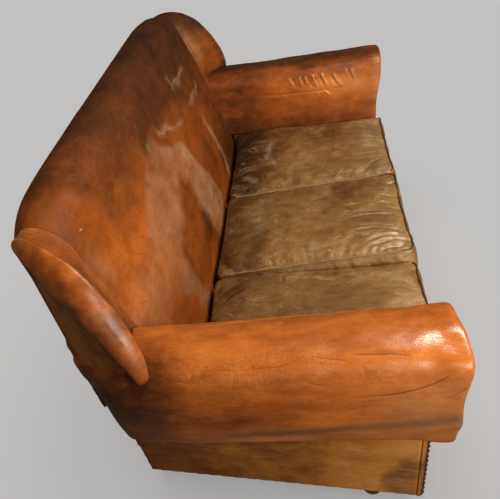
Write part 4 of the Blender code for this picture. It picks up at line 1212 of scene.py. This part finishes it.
def build_nails(side):
    """Domed iron nails, blackened, close together down the band at the edge of the facing."""
    low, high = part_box(f"{side}_nail_band")
    middle, front = (low[0] + high[0]) / 2, low[1]
    bm = bmesh.new()
    for number in range(NAILS):
        dome = bmesh.ops.create_uvsphere(bm, u_segments=10, v_segments=6, radius=NAIL_RADIUS)["verts"]
        bmesh.ops.rotate(bm, verts=dome, matrix=Matrix.Rotation(math.pi / 2, 3, "X"))
        bmesh.ops.scale(bm, verts=dome, vec=(1.0, 0.90, 1.0))
        z = low[2] + NAIL_RADIUS + number * (high[2] - low[2] - 2 * NAIL_RADIUS - 0.002) / (NAILS - 1)
        bmesh.ops.translate(bm, verts=dome, vec=(middle, front, z))
    cut = bmesh.ops.bisect_plane(bm, geom=bm.verts[:] + bm.edges[:] + bm.faces[:],
                                 plane_co=(0, front - 0.0002, 0), plane_no=(0, 1, 0), clear_outer=True)
    rims = [e for e in cut["geom_cut"] if isinstance(e, bmesh.types.BMEdge)]
    bmesh.ops.holes_fill(bm, edges=rims, sides=0)
    bmesh.ops.recalc_face_normals(bm, faces=bm.faces)
    nails = built(bm, f"{side}_nailheads", blackened_iron)
    nails.data.shade_smooth()
    finish_piece(nails, ())


for number, side in enumerate(("left", "middle", "right")):
    build_cushion(number, side)
for side, sign in SIDES:
    build_arm(side, sign)
    build_wing(side, sign)
    build_wing_panel(side, sign)
build_back()
build_front_border()
for side, _ in SIDES:
    soft_board(f"{side}_side_leather", f"{side}_side_board", dark_leather, side_paint, 0.0015, 0.0045)
    soft_board(f"{side}_facing_leather", f"{side}_front_facing", dark_leather, facing_paint, 0.0010, 0.0030)
    soft_board(f"{side}_lining_leather", f"{side}_inner_lining", tan_leather, lining_paint, 0.0010, 0.0)
    soft_board(f"{side}_nail_band_leather", f"{side}_nail_band", dark_leather, lining_paint, 0.0008, 0.0)
    build_nails(side)
soft_board("outside_back_leather", "outside_back", dark_leather, back_paint)
dress_frame()


# ---------------------------------------------------------------- floor, light and camera
FLOOR_COLOUR, FLOOR_LIGHT = "#bcbcbc", 1.15
# a long warm lamp overhead in front, a broad dim fill from the front left, and a dim lamp behind: where each
# stands and aims, its size, power and colour
LAMPS = (("overhead", (-0.28, -1.27, 2.42), (-0.1, -0.1, 0.5), (0.35, 1.2), 58.0, (1.0, 0.93, 0.80)),
         ("fill", (-2.9, -1.9, 1.7), (-0.5, -0.1, 0.4), (1.6, 1.6), 100.0, (1.0, 0.94, 0.84)),
         ("rear", (1.3, 3.1, 0.9), (0.2, 0.4, 0.4), (1.8, 1.2), 55.0, (1.0, 0.93, 0.82)))


def build_floor():
    """A floor, and the studio's far wall, as pale as the floor, so that a low view has no dark sky."""
    material, shader, _ = new_material("matt_pale_floor")
    # a glow of its own stands for a wide studio floor, so the shadows on it stay faint
    wire(shader, {"Base Color": linear(FLOOR_COLOUR), "Roughness": 0.95, "Specular IOR Level": 0.1,
                  "Emission Color": linear(FLOOR_COLOUR), "Emission Strength": 0.62})
    bm = bmesh.new()
    bmesh.ops.create_grid(bm, x_segments=1, y_segments=1, size=30.0)
    floor = built(bm, "floor", material)
    bm = bmesh.new()
    bmesh.ops.create_circle(bm, segments=64, radius=28.0)
    risen = bmesh.ops.extrude_edge_only(bm, edges=bm.edges[:])["geom"]
    bmesh.ops.translate(bm, verts=[v for v in risen if isinstance(v, bmesh.types.BMVert)], vec=(0, 0, 24.0))
    backdrop = built(bm, "backdrop", material)
    backdrop.visible_shadow = False
    for piece in (floor, backdrop):
        piece.visible_diffuse = piece.visible_glossy = False
    return floor, backdrop


def build_stage():
    """Floor, wall and lamps; one lamp lights the floor alone, the others the sofa alone."""
    pieces = build_floor()
    world = bpy.data.worlds.new("studio")
    world.use_nodes = True
    wire(world.node_tree.nodes["Background"], {"Color": (1.0, 0.80, 0.58, 1.0), "Strength": 0.10})
    SCENE.world = world
    floor_only = bpy.data.collections.new("floor_only")
    sofa_only = bpy.data.collections.new("sofa_only")
    for collection in (floor_only, sofa_only):
        for piece in pieces:
            collection.objects.link(piece)
    for held in sofa_only.collection_objects:
        held.light_linking.link_state = "EXCLUDE"
    sky = bpy.data.lights.new("sky", "SUN")
    sky.energy, sky.angle = FLOOR_LIGHT, math.radians(70)
    add_lamp("sky", sky, (0.2, -0.1, 2.5), (0.0, 0.0, 0.0), floor_only)
    for name, place, aim, size, power, colour in LAMPS:
        lamp = bpy.data.lights.new(name, "AREA")
        lamp.shape = "RECTANGLE"
        lamp.size, lamp.size_y = size
        lamp.energy, lamp.color = power, colour
        add_lamp(name, lamp, place, aim, sofa_only)
        # the rear lamp only lifts the shade; it leaves no glints
        bpy.data.objects[name].visible_glossy = name != "rear"


def add_lamp(name, light, place, aim, lit):
    lamp = bpy.data.objects.new(name, light)
    lamp.location = place
    lamp.rotation_euler = (Vector(place) - Vector(aim)).to_track_quat("Z", "Y").to_euler()
    lamp.light_linking.receiver_collection = lit
    SCENE.collection.objects.link(lamp)


CAMERA_PLACE = (-1.784, -0.165, 1.538)
CAMERA_TURN = math.radians(-81.67)
CAMERA_RISE = math.radians(39.11)
CAMERA_ROLL = math.radians(-7.86)


def build_camera():
    camera = bpy.data.cameras.new("camera")
    camera.sensor_width = 36.0
    camera.lens = 43.49
    camera.shift_x, camera.shift_y = 0.0034, 0.0878
    obj = bpy.data.objects.new("camera", camera)
    level, up = math.cos(CAMERA_RISE), math.sin(CAMERA_RISE)
    back = Vector((math.sin(CAMERA_TURN) * level, -math.cos(CAMERA_TURN) * level, up))
    obj.matrix_world = (Matrix.Translation(CAMERA_PLACE) @ back.to_track_quat("Z", "Y").to_matrix().to_4x4()
                        @ Matrix.Rotation(CAMERA_ROLL, 4, "Z"))
    SCENE.collection.objects.link(obj)
    SCENE.camera = obj


build_stage()
build_camera()
SCENE.view_settings.view_transform = "Standard"
